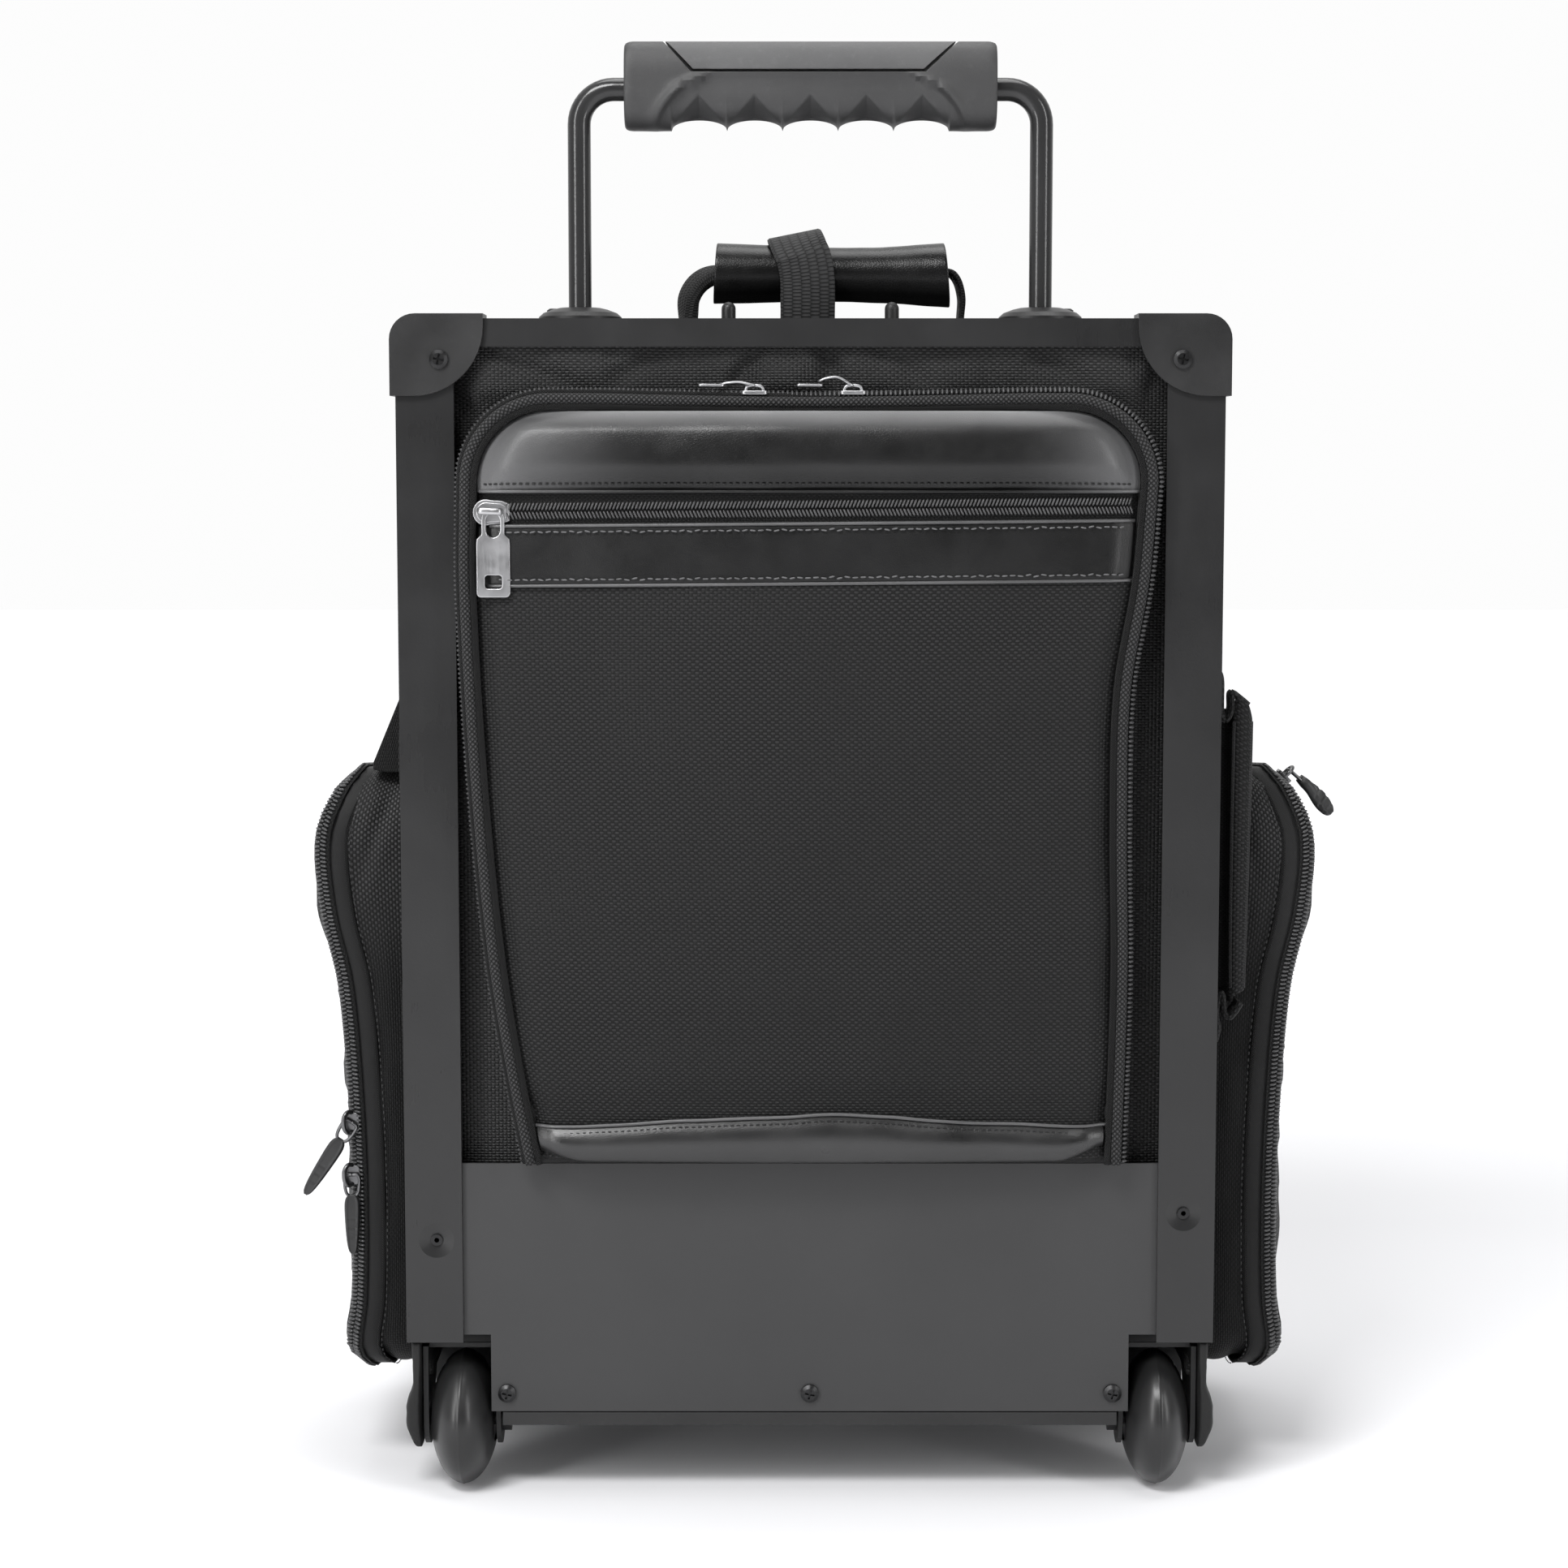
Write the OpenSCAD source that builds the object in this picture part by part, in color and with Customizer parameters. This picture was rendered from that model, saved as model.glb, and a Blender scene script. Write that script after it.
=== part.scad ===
// Rolling pilot flight case: a soft bag on a metal trolley frame with a two-stage handle.
// +Z is up. -Y is the trolley side, which carries the rails, the wheels and the handle.
// +X is to the right seen from the trolley side. The origin is on the floor below the
// middle of the case. Lengths are in millimetres.

/* [Trolley frame] */
// Width across the outer edges of the two side rails
frame_w = 356; // [350:1:364]
// Height of the top rail above the floor
case_h = 517; // [510:1:540]
// Depth from the back face of the rails to the front of the bag
case_d = 209; // [200:1:225]
// Width of each side rail's flat face
rail_w = 25; // [22:1:26]
// Sheet thickness of the rails
rail_t = 2; // [1.5:0.1:2.5]
// Height of the kick plate's top edge
plate_top = 149; // [140:1:149]

/* [Wheels] */
// Diameter of the wheels
wheel_d = 60; // [56:1:60]
// Width of a wheel's tyre
wheel_w = 27; // [22:1:27]
// Distance from the middle of the case to the middle of a wheel
wheel_x = 154.5; // [153:0.5:155]

/* [Handle] */
// Distance between the two handle tubes
tube_spacing = 200; // [180:1:210]
// Outer diameter of the bent inner tube
tube_d = 10; // [9:0.5:10]
// Height of the bent tube's top run, with the handle partly pulled out
handle_z = 616; // [600:1:640]
// Radius of the tube's bends, at its centre line
bend_r = 15; // [12:1:20]
// Length of the grip
grip_w = 160; // [150:1:165]
// Height of the carry handle's grip above the floor
carry_z = 539; // [536:1:542]

/* [Bag] */
// Thickness of the padded walls
wall = 6; // [4:0.5:6]
// Thickness of the stiffener boards
board = 3; // [2:0.5:3]
// Thickness of the lid
lid_t = 7.7; // [6:0.1:7.7]
// Depth of the pocket on the front
front_pocket_d = 21; // [18:1:30]
// Thickness of each side pocket's padded door
side_door_t = 4; // [3:0.5:4]

/* [Hidden] */
$fn = 48;

// Clearance between neighbouring pieces
gap = 0.3;
// Small amount by which a cutting shape passes a face
cut = 1;

// Depths. The rails' back face is placed so that the case is centred on the origin.
y_back = -(case_d + gap + front_pocket_d) / 2 + 7.2;
y_front = y_back + case_d;
y_tubes = y_back + 24;
y_axle = y_back + 20;
y_carry = y_back + 56;
y_lid = y_back + 80;
y_wall = y_back + 12.3;

// Widths
half_w = frame_w / 2;
tube_x = tube_spacing / 2;
rail_inner = half_w - rail_w;
plate_half = 141;
tray_rear_half = 130;
tray_lip_half = 136;

// Heights
rail_bottom = 69;
rail_face_h = 12;
wall_top = case_h - 13;
lid_bottom = wall_top + gap;
lid_top = lid_bottom + lid_t;
tray_bottom = 31;
tray_top = 65;
plate_bottom = 37.3;
notch_z = 72;
side_bottom = 50;
floor_z = tray_top + gap;
floor_top = floor_z + 4.7;
axle_z = wheel_d / 2;

// Handle tubes: radius of each stage and where each one ends
guide_r = 8;
guide_bore_r = 6.8;
mid_r = 6.5;
mid_bore_r = tube_d / 2 + 0.2;
inner_r = tube_d / 2;
inner_bore_r = inner_r - 1.1;
guide_bottom = 76.5;
mid_bottom = 80;
mid_top = case_h + 4;
leg_bottom = 155;
flange_d = 44;

// Wheels and their axles
axle_r = 3.95;
bearing_bore_r = 4;
bearing_r = 11;
bearing_w = 7;
hub_r = 17;
hub_half = 13;
ridge_h = 0.3;
bracket_in = 137.5;
bracket_out = 171.7;
bracket_t = 2.2;

// Grip of the trolley handle
grip_half = grip_w / 2;
grip_top = handle_z + 20;
grip_bottom = handle_z - 18;
grip_half_d = 14;
scallop_pitch = 24;
cover_top_half = 62;
cover_bottom_half = 46;
cover_z = handle_z + 8;

// Pocket on the trolley side
door_z0 = plate_top + 2;
door_z1 = 485;
door_t = 8;
door_corner = 38;

// Side pockets
side_y0 = y_back + 34;
side_y1 = y_back + 178;
side_z0 = 46;
side_z1 = 318;
side_x0 = half_w + gap;

// Carry handle
carry_x = 5;
carry_half = 61;
carry_pivot_z = lid_top + 4;
webbing_end_r = 3.6;
grip_r = 12;
strap_half = 12;

// Shades
metal_paint = [0.24, 0.25, 0.25];
black_plastic = [0.14, 0.14, 0.15];
fabric_black = [0.11, 0.11, 0.12];
leather_black = [0.17, 0.17, 0.18];
satin_steel = [0.70, 0.70, 0.71];
bright_nickel = [0.80, 0.80, 0.80];
tyre_grey = [0.20, 0.20, 0.21];

// ---------- Helpers ----------

// Points of an arc in degrees
function arc(cx, cy, r, a0, a1, n = 8) =
    [for (i = [0:n]) let (a = a0 + (a1 - a0) * i / n) [cx + r * cos(a), cy + r * sin(a)]];

// Points of a rectangle with round corners
function round_rect(x0, y0, x1, y1, r) = concat(
    arc(x1 - r, y0 + r, r, -90, 0),
    arc(x1 - r, y1 - r, r, 0, 90),
    arc(x0 + r, y1 - r, r, 90, 180),
    arc(x0 + r, y0 + r, r, 180, 270));

// Extrudes an outline drawn in X and Z from y0 to y1
module along_y(y0, y1) {
    translate([0, y1, 0]) rotate([90, 0, 0]) linear_extrude(y1 - y0) children();
}

// Extrudes an outline drawn in Y and Z from x0 to x1
module along_x(x0, x1) {
    translate([x0, 0, 0]) rotate([90, 0, 90]) linear_extrude(x1 - x0) children();
}

module box(x0, x1, y0, y1, z0, z1) {
    translate([x0, y0, z0]) cube([x1 - x0, y1 - y0, z1 - z0]);
}

// A rod along X, Y or Z
module rod_x(r, x0, x1, y, z) { translate([x0, y, z]) rotate([0, 90, 0]) cylinder(r = r, h = x1 - x0); }
module rod_y(r, x, y0, y1, z) { translate([x, y1, z]) rotate([90, 0, 0]) cylinder(r = r, h = y1 - y0); }
module rod_z(r, x, y, z0, z1) { translate([x, y, z0]) cylinder(r = r, h = z1 - z0); }

// Draws the right-hand piece, or its mirror image on the left
module side(s) { mirror([s < 0 ? 1 : 0, 0, 0]) children(); }

// ---------- Trolley frame ----------

screw_x = 159;
screw_z = case_h - 17.5;
plate_screw_x = 134;
plate_screw_z = 45.5;
rivet_x = 164.3;
rivet_hole_r = 1.9;
dish_r = 7.8;
dish_depth = 1.2;
rivet_z_left = 115;
rivet_z_right = 127;
bezel_screw_x = tube_x + 11.5;

module top_rail() {
    end_x = half_w - 8;
    color(metal_paint) difference() {
        union() {
            box(-end_x, end_x, y_back, y_back + rail_t, case_h - rail_face_h, case_h);
            box(-end_x, end_x, y_back, y_back + flange_d, case_h - rail_t, case_h);
        }
        for (s = [-1, 1]) {
            rod_z(mid_r + 0.4, s * tube_x, y_tubes, case_h - rail_t - cut, case_h + cut);
            rod_z(1.8, s * bezel_screw_x, y_tubes, case_h - rail_t - cut, case_h + cut);
        }
    }
}

// An angle section: flat face to the back, narrow flange along the outer edge
module side_rail(rivet_z) {
    top = case_h - rail_face_h - 0.2;
    color(metal_paint) difference() {
        union() {
            box(rail_inner, half_w, y_back, y_back + rail_t, rail_bottom, top);
            box(half_w - rail_t, half_w, y_back, y_back + 12, rail_bottom, top);
        }
        rod_y(2.3, screw_x, y_back - cut, y_back + 4, screw_z);
        rod_y(rivet_hole_r, rivet_x, y_back - cut, y_back + 4, rivet_z);
        translate([rivet_x, y_back + dish_depth, rivet_z]) rotate([90, 0, 0])
            cylinder(r1 = 2.7, r2 = 2.7 + 2 * (dish_r - 2.7), h = 2 * dish_depth);
    }
}

// Outline of a corner cap in X and Z
cap_in = 140;
cap_out = half_w + 2.2;
cap_low = case_h - 33;
cap_high = case_h + 2;
cap_r = 11;
cap_outline = concat(
    [[cap_in, cap_high]],
    arc(cap_out - cap_r, cap_high - cap_r, cap_r, 90, 0),
    [[cap_out, cap_low]],
    arc(cap_in + 30, cap_low + 30, 30, -90, -180, 12));
cap_band = concat(
    [[cap_in, cap_high]],
    arc(cap_out - cap_r, cap_high - cap_r, cap_r, 90, 0),
    [[cap_out, cap_low], [cap_out - 2, cap_low]],
    arc(cap_out - cap_r, cap_high - cap_r, cap_r - 2, 0, 90),
    [[cap_in, cap_high - 2]]);

module corner_cap() {
    color(black_plastic) difference() {
        union() {
            along_y(y_back - 2.2, y_back - 0.2) polygon(cap_outline);
            along_y(y_back - 0.2 - 0.01, y_back + 16) polygon(cap_band);
        }
        rod_y(2.3, screw_x, y_back - 4, y_back + 4, screw_z);
    }
}

// Pan-head screw with a cross recess, head towards -Y, its seat at y = 0
module pan_screw(length) {
    difference() {
        union() {
            rod_y(4, 0, -1.2, 0, 0);
            translate([0, -1.2, 0]) rotate([90, 0, 0]) cylinder(r1 = 4, r2 = 2.6, h = 1);
            rod_y(2, 0, 0, length, 0);
        }
        for (a = [0, 90]) rotate([0, a + 12, 0]) box(-2.2, 2.2, -3, -0.9, -0.45, 0.45);
    }
}

module pan_screws() {
    color(metal_paint) {
        for (s = [-1, 1]) {
            translate([s * screw_x, y_back - 2.2, screw_z]) pan_screw(6);
            translate([s * bezel_screw_x, y_tubes, case_h + 3.6]) rotate([-90, 0, 0])
                scale(0.75) pan_screw(9);
        }
        for (x = [-plate_screw_x, 0, plate_screw_x])
            translate([x, y_back + 2.2, plate_screw_z]) pan_screw(6);
    }
}

module kick_plate() {
    z = [plate_bottom, notch_z, plate_top];
    outline = [
        [-plate_half, z[0]], [plate_half, z[0]], [plate_half, z[1]], [170, z[1]],
        [170, z[2]], [-170, z[2]], [-170, z[1]], [-plate_half, z[1]]];
    color(metal_paint) difference() {
        along_y(y_back + 2.2, y_back + 3.7) polygon(outline);
        for (x = [-plate_screw_x, 0, plate_screw_x])
            rod_y(2.2, x, y_back, y_back + 6, plate_screw_z);
        rod_y(rivet_hole_r, -rivet_x, y_back, y_back + 6, rivet_z_left);
        rod_y(rivet_hole_r, rivet_x, y_back, y_back + 6, rivet_z_right);
    }
}

module blind_rivet(x, z) {
    difference() {
        union() {
            rod_y(2.5, x, y_back + 0.4, y_back + 1.15, z);
            rod_y(1.8, x, y_back + 1.15, y_back + 6.5, z);
        }
        rod_y(1.1, x, y_back - cut, y_back + 8, z);
    }
}

module rail_rivets() {
    color(metal_paint) {
        blind_rivet(-rivet_x, rivet_z_left);
        blind_rivet(rivet_x, rivet_z_right);
    }
}

// Moulded pan under the bag, narrower between the wheels
module base_tray() {
    t = 2.5;
    y0 = y_back + 4.2;
    step_y = y_back + 52;
    y1 = y_front - 4;
    wide = half_w - 7;
    module plan(inset) {
        r = tray_rear_half - inset;
        w = wide - inset;
        polygon([[-r, y0 + inset], [r, y0 + inset], [r, step_y + inset], [w, step_y + inset],
                 [w, y1 - inset], [-w, y1 - inset], [-w, step_y + inset], [-r, step_y + inset]]);
    }
    color(black_plastic) difference() {
        union() {
            translate([0, 0, tray_bottom]) linear_extrude(tray_top - tray_bottom) plan(0);
            box(-tray_lip_half, tray_lip_half, y0, y0 + t, tray_bottom, tray_top);
            box(-tray_lip_half, tray_lip_half, y0 - 2, y0 + t, tray_bottom, plate_bottom - 0.5);
        }
        translate([0, 0, tray_bottom + t]) linear_extrude(tray_top) plan(t);
        for (x = [-plate_screw_x, 0, plate_screw_x])
            rod_y(2.2, x, y_back, y_back + 9, plate_screw_z);
    }
}

// Inverted U around a wheel, with a hole for the axle in each ear
module wheel_bracket() {
    ear = concat(
        arc(y_axle, axle_z, 12, 180, 360, 16),
        [[y_back + 50, tray_top - 2], [y_back + 50, tray_top], [y_back + 8, tray_top]]);
    color(metal_paint) difference() {
        union() {
            along_x(bracket_in, bracket_in + 2) polygon(ear);
            along_x(bracket_out - bracket_t, bracket_out) polygon(ear);
            box(bracket_in, bracket_out, y_back + 14, y_back + 50, tray_top - 2, tray_top);
        }
        rod_x(4.1, bracket_in - cut, bracket_out + cut, y_axle, axle_z);
    }
}

module axle_bolt() {
    rod_x(axle_r, bracket_in - 0.1, bracket_out + 5.5, y_axle, axle_z);
    rod_x(6.5, bracket_in - 3.9, bracket_in - 0.1, y_axle, axle_z);
}

module axle_nut() {
    difference() {
        translate([bracket_out + 0.1, y_axle, axle_z]) rotate([0, 90, 0]) cylinder(r = 7, h = 4.5, $fn = 6);
        rod_x(axle_r + 0.05, bracket_out - cut, bracket_out + 6, y_axle, axle_z);
    }
}

module axle_bolts() {
    color(satin_steel) for (s = [-1, 1]) side(s) {
        axle_bolt();
        axle_nut();
    }
}

// Rubber guard over the axle's outer end, below the side panel and up to the rail
module wheel_guard() {
    r = 18;
    z = 32;
    x0 = bracket_out + 0.5;
    outline = concat(arc(y_axle, z, r, 180, 360, 20), [[y_axle + r, side_bottom - gap], [y_axle - r, side_bottom - gap]]);
    inner = concat(arc(y_axle, z, r - 5, 180, 360, 20), [[y_axle + r - 5, side_bottom - gap], [y_axle - r + 5, side_bottom - gap]]);
    color(black_plastic) difference() {
        union() {
            along_x(x0, x0 + 5.5) polygon(outline);
            along_x(x0 + 5.4, x0 + 8.5) polygon(inner);
            box(x0, x0 + 5.5, y_axle - r, y_wall - gap, z, rail_bottom - gap);
        }
        rod_x(8.6, x0 - cut, x0 + 6, y_axle, axle_z);
    }
}

module wheel_guards() { for (s = [-1, 1]) side(s) wheel_guard(); }

module front_feet() {
    y = y_front - 30;
    profile = [[y - 15, 0], [y + 13, 0], [y + 22, tray_bottom - 0.05], [y - 22, tray_bottom - 0.05]];
    color(black_plastic) for (s = [-1, 1]) side(s) along_x(122, 158) polygon(profile);
}

// ---------- Wheels ----------

// Turns a profile, drawn with the radius along X, about the axle
module on_axle() {
    translate([wheel_x, y_axle, axle_z]) rotate([0, 90, 0]) rotate_extrude($fn = 96) children();
}

// The crown is an ellipse that narrows towards the tread, with a moulding ridge in the middle
module wheel_tyre() {
    crown = wheel_d / 2 - ridge_h;
    a_hub = acos((hub_r + 0.02) / crown);
    function crown_point(a) = [crown * cos(a), wheel_w * 0.56 * sin(a)];
    color(tyre_grey) on_axle() polygon(concat(
        [for (i = [10:-1:1]) crown_point(-a_hub * i / 10)],
        [[crown, -0.7], [wheel_d / 2, -0.25], [wheel_d / 2, 0.25], [crown, 0.7]],
        [for (i = [1:10]) crown_point(a_hub * i / 10)]));
}

module wheel_hub() {
    h = hub_half;
    color(black_plastic) on_axle() polygon([
        [bearing_r + 0.02, -h], [hub_r, -h + 1.5], [hub_r, h - 1.5], [bearing_r + 0.02, h],
        [bearing_r + 0.02, h - bearing_w], [5.5, h - bearing_w], [5.5, -h + bearing_w],
        [bearing_r + 0.02, -h + bearing_w]]);
}

module wheel_bearings() {
    h = hub_half;
    color(satin_steel) for (z = [-h + 0.02, h - bearing_w + 0.02])
        on_axle() translate([0, z]) polygon([
            [bearing_bore_r, 0], [bearing_r, 0], [bearing_r, bearing_w - 0.04],
            [bearing_bore_r, bearing_w - 0.04]]);
}

// ---------- Trolley handle ----------

module tube(r, bore, x, z0, z1) {
    difference() {
        rod_z(r, x, y_tubes, z0, z1);
        rod_z(bore, x, y_tubes, z0 - cut, z1 + cut);
    }
}

// Outer tubes, with a hole near the top that the middle tube's snap button springs into
module guide_tubes() {
    color(satin_steel) for (s = [-1, 1]) difference() {
        tube(guide_r, guide_bore_r, s * tube_x, guide_bottom, case_h - rail_t - 0.2);
        rod_y(2.2, s * tube_x, y_tubes - 10, y_tubes, case_h - 30);
    }
}

module guide_tube_foot() {
    color(black_plastic)
        box(-tube_x - 12, tube_x + 12, y_wall + board + 0.5, y_tubes + 8.2, floor_top + 0.2, guide_bottom - 0.2);
}

module mid_tubes() {
    color(satin_steel) for (s = [-1, 1]) difference() {
        tube(mid_r, mid_bore_r, s * tube_x, mid_bottom, mid_top);
        rod_y(2.2, s * tube_x, y_tubes - 10, y_tubes, mid_top - 18);
    }
}

// Cross-section of the bent tube
module inner_ring() {
    difference() {
        circle(r = inner_r);
        circle(r = inner_bore_r);
    }
}

// Inner tube, bent to a U: two legs, two bends and the top run
module handle_tube() {
    run = 2 * (tube_x - bend_r);
    color(metal_paint) {
        for (s = [-1, 1]) side(s) {
            difference() {
                translate([tube_x, y_tubes, leg_bottom])
                    linear_extrude(handle_z - bend_r - leg_bottom) inner_ring();
                rod_y(2.2, tube_x, y_tubes - 10, y_tubes, leg_bottom + 14);
            }
            translate([tube_x - bend_r, y_tubes, handle_z - bend_r]) rotate([90, 0, 0])
                rotate_extrude(angle = 90) translate([bend_r, 0]) inner_ring();
        }
        translate([-run / 2, y_tubes, handle_z]) rotate([90, 0, 90]) linear_extrude(run) inner_ring();
    }
}

// The grip's outline from the trolley side: five finger scallops along the bottom
scallops = [for (i = [-2:2], a = [150:-15:30])
    [i * scallop_pitch + 13.85 * cos(a), grip_bottom - 6.9 + 13.85 * sin(a) - 0.05]];
grip_outline = concat(
    arc(-grip_half + 4, grip_bottom + 4, 4, 270, 180),
    arc(-grip_half + 5, grip_top - 5, 5, 180, 90),
    arc(grip_half - 5, grip_top - 5, 5, 90, 0),
    arc(grip_half - 4, grip_bottom + 4, 4, 0, -90),
    [for (i = [len(scallops) - 1:-1:0]) scallops[i]]);
grip_section = round_rect(y_tubes - grip_half_d, grip_bottom - 1, y_tubes + grip_half_d, grip_top, 10);
cover_outline = [
    [-cover_bottom_half, cover_z], [cover_bottom_half, cover_z],
    [cover_top_half, grip_top + cut], [-cover_top_half, grip_top + cut]];

module grip_solid() {
    intersection() {
        along_y(y_tubes - grip_half_d - cut, y_tubes + grip_half_d + cut) polygon(grip_outline);
        along_x(-grip_half - cut, grip_half + cut) polygon(grip_section);
    }
}

module grip_body() {
    color(black_plastic) difference() {
        grip_solid();
        along_y(y_tubes - 20, y_tubes + 20) polygon(cover_outline);
        rod_x(inner_r + 0.05, -grip_half - cut, grip_half + cut, y_tubes, handle_z);
    }
}

module grip_cover() {
    color(leather_black) intersection() {
        grip_solid();
        along_y(y_tubes - 20, y_tubes + 20) polygon([
            for (p = cover_outline) [p[0] - sign(p[0]) * 0.5, p[1] + (p[1] < grip_top ? 0.3 : 0)]]);
    }
}

module socket_bezels() {
    z = case_h + 0.1;
    profile = [[mid_r + 0.2, z], [18, z], [18, z + 1.4], [16, z + 3.2], [12, z + 4.7], [9, z + 5.4], [mid_r + 0.2, z + 5.4]];
    color(black_plastic) for (s = [-1, 1]) difference() {
        translate([s * tube_x, y_tubes, 0]) rotate_extrude($fn = 72) polygon(profile);
        rod_z(1.7, s * bezel_screw_x, y_tubes, case_h - 2, case_h + 9);
        rod_z(3.3, s * bezel_screw_x, y_tubes, case_h + 3.6, case_h + 9);
    }
}

// Rubber stops that the grip comes to rest on when the handle is pushed in
module handle_rest_posts() {
    z0 = case_h + 0.05;
    z1 = case_h + 8.2;
    color(black_plastic) for (s = [-1, 1]) translate([s * 35.5, y_tubes, 0])
        rotate_extrude() polygon(concat([[0, z0], [3.1, z0]], arc(0, z1 - 3.1, 3.1, 0, 90, 6)));
}

// ---------- Bag ----------

module shell_back() {
    color(fabric_black) box(-half_w + wall + gap, half_w - wall - gap, y_wall, y_wall + board, floor_top + 0.2, wall_top);
}

module tube_cover_board() {
    color(fabric_black)
        box(-half_w + wall + 0.5, half_w - wall - 0.5, y_tubes + 8.5, y_tubes + 8.5 + board, floor_top + 0.2, wall_top);
}

module shell_front() {
    color(fabric_black)
        box(-half_w + wall + gap, half_w - wall - gap, y_front - wall, y_front, floor_z, wall_top);
}

module shell_sides() {
    color(fabric_black) for (s = [-1, 1]) side(s)
        box(half_w - wall, half_w, y_wall, y_front, side_bottom, wall_top);
}

module shell_bottom() {
    color(fabric_black)
        box(-half_w + wall + gap, half_w - wall - gap, y_wall, y_front - wall - gap, floor_z, floor_top);
}

// The fixed part of the top, behind the lid, with holes for the guide tubes
module top_strip() {
    color(fabric_black) difference() {
        box(-half_w + 6, half_w - 6, y_wall, y_lid - 0.5, lid_bottom, lid_top);
        for (s = [-1, 1]) rod_z(guide_r + 0.2, s * tube_x, y_tubes, lid_bottom - cut, lid_top + cut);
    }
}

module lid_panel() {
    r = 16;
    plan = concat(
        [[-half_w, y_lid], [half_w, y_lid]],
        arc(half_w - r, y_front - r, r, 0, 90),
        arc(-half_w + r, y_front - r, r, 90, 180));
    color(fabric_black) translate([0, 0, lid_bottom]) linear_extrude(lid_t) polygon(plan);
}

// Outline of the trolley-side pocket in X and Z, drawn in by inset
function door_outline(inset) = let (r = door_corner - inset, top = door_z1 - inset) concat(
    [[-124 + inset, door_z0 + inset], [135.5 - inset, door_z0 + inset], [137.5 - inset, 350]],
    arc(148.5 - inset - r, top - r, r, 0, 90),
    arc(-150 + inset + r, top - r, r, 90, 180),
    [[-150 + inset, 405]]);

module back_gusset() {
    color(fabric_black) along_y(y_back - 0.7, y_wall - gap) difference() {
        polygon(door_outline(0));
        polygon(door_outline(3));
    }
}

module back_door() {
    color(leather_black) along_y(y_back - 1 - door_t, y_back - 1) polygon(door_outline(0));
}

function side_outline(inset) =
    round_rect(side_y0 + inset, side_z0 + inset, side_y1 - inset, side_z1 - inset, 22 - inset);

// The seam between a side pocket's gusset and its door, in X and Z: fullest near the top
side_seam = [
    [205, side_z0 - cut], [211, 56], [208.5, 78], [207.5, 120], [208.7, 170], [212.7, 223],
    [220, 257], [222, 290], [214.5, 310], [207, side_z1 + cut]];

// How much slimmer the left pocket is than the right one
left_slim = 3.5;

// Area between the seam moved out by a and the same seam moved out by b
function side_band(a, b) = concat(
    [for (p = side_seam) [p[0] + a, p[1]]],
    [for (i = [len(side_seam) - 1:-1:0]) [side_seam[i][0] + b, side_seam[i][1]]]);

module side_gusset(slim = 0) {
    color(fabric_black) intersection() {
        along_x(side_x0, side_x0 + 60) difference() {
            polygon(side_outline(0));
            polygon(side_outline(3));
        }
        along_y(side_y0 - cut, side_y1 + cut)
            polygon(concat([[side_x0, side_z1 + cut], [side_x0, side_z0 - cut]],
                [for (p = side_seam) [p[0] - slim, p[1]]]));
    }
}

// The side pocket's padded face, which follows the seam
module side_door(slim = 0) {
    color(fabric_black) intersection() {
        along_y(side_y0 - cut, side_y1 + cut) polygon(side_band(gap - slim, gap + side_door_t - slim));
        along_x(side_x0, side_x0 + 60) polygon(side_outline(0));
    }
}

// Open-topped slip pocket on the front of the bag
module front_pocket() {
    y0 = y_front + gap;
    color(leather_black) difference() {
        box(-140, 140, y0, y0 + front_pocket_d, 80, 360);
        box(-137, 137, y0 - cut, y0 + front_pocket_d - 3, 83, 360 + cut);
    }
}

// Narrow open-topped sleeve beside the right-hand rail
module torch_sleeve() {
    color(fabric_black) difference() {
        box(side_x0, side_x0 + 15, y_back + 13, y_back + 30, 215, 357);
        box(side_x0 + 2.5, side_x0 + 12.5, y_back + 15.5, y_back + 27.5, 218, 357 + cut);
    }
}

// ---------- Zip sliders and pulls ----------

// Height of the pull's bar above the slider's seat
bar_h = 2.9;
bar_r = 0.8;

// A slider on a zip that faces -Y. Its seat is at y = 0, and the pull's bar goes through
// its arch along X. bridge is half the arch's width.
module zip_slider(l, w, bridge = 1.8) {
    arch = w / 2 - 1;
    box(-l / 2, l / 2, -1.8, 0, -w / 2, w / 2);
    difference() {
        box(-bridge, bridge, -5.2, -1.75, -arch, arch);
        box(-3, 3, -4.1, -1.8, -arch + 1.1, arch - 1.1);
    }
}

// The bar and the two arms of a pull, with the bar along X through the origin. inner is
// half the distance between the arms.
module pull_link(drop, inner = 2.2) {
    outer = inner + 2 * bar_r;
    rod_x(bar_r, -outer, outer, 0, 0);
    for (s = [-1, 1]) side(s) box(inner, outer, -bar_r, bar_r, -drop, 0);
}

// A flat metal pull with a rectangular hole near its end
module metal_pull(l, w) {
    outline = [[-w * 0.38, -6], [w * 0.38, -6], [w / 2, -10], [w / 2, -l], [-w / 2, -l], [-w / 2, -10]];
    pull_link(7);
    along_y(-1, 1) difference() {
        polygon(outline);
        translate([-w * 0.29, -l + 4]) square([w * 0.58, 6.8]);
    }
}

// A moulded rubber pull on a wire link
module rubber_pull(l, inner = 2.2) {
    pull_link(10, inner);
    along_y(-1.5, 1.5) polygon([[-5, -9], [5, -9], [4.5, -14], [4, -l], [-4, -l], [-4.5, -14]]);
}

door_face = y_back - 1 - door_t;
pocket_slider_x = -135.5;
pocket_zip_z = 434;

module pocket_slider() {
    color(bright_nickel) translate([pocket_slider_x, door_face - 0.3, pocket_zip_z]) zip_slider(14, 11);
}

module pocket_pull() {
    color(bright_nickel) translate([pocket_slider_x, door_face - 0.3 - bar_h, pocket_zip_z]) metal_pull(36, 14.4);
}

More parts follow.
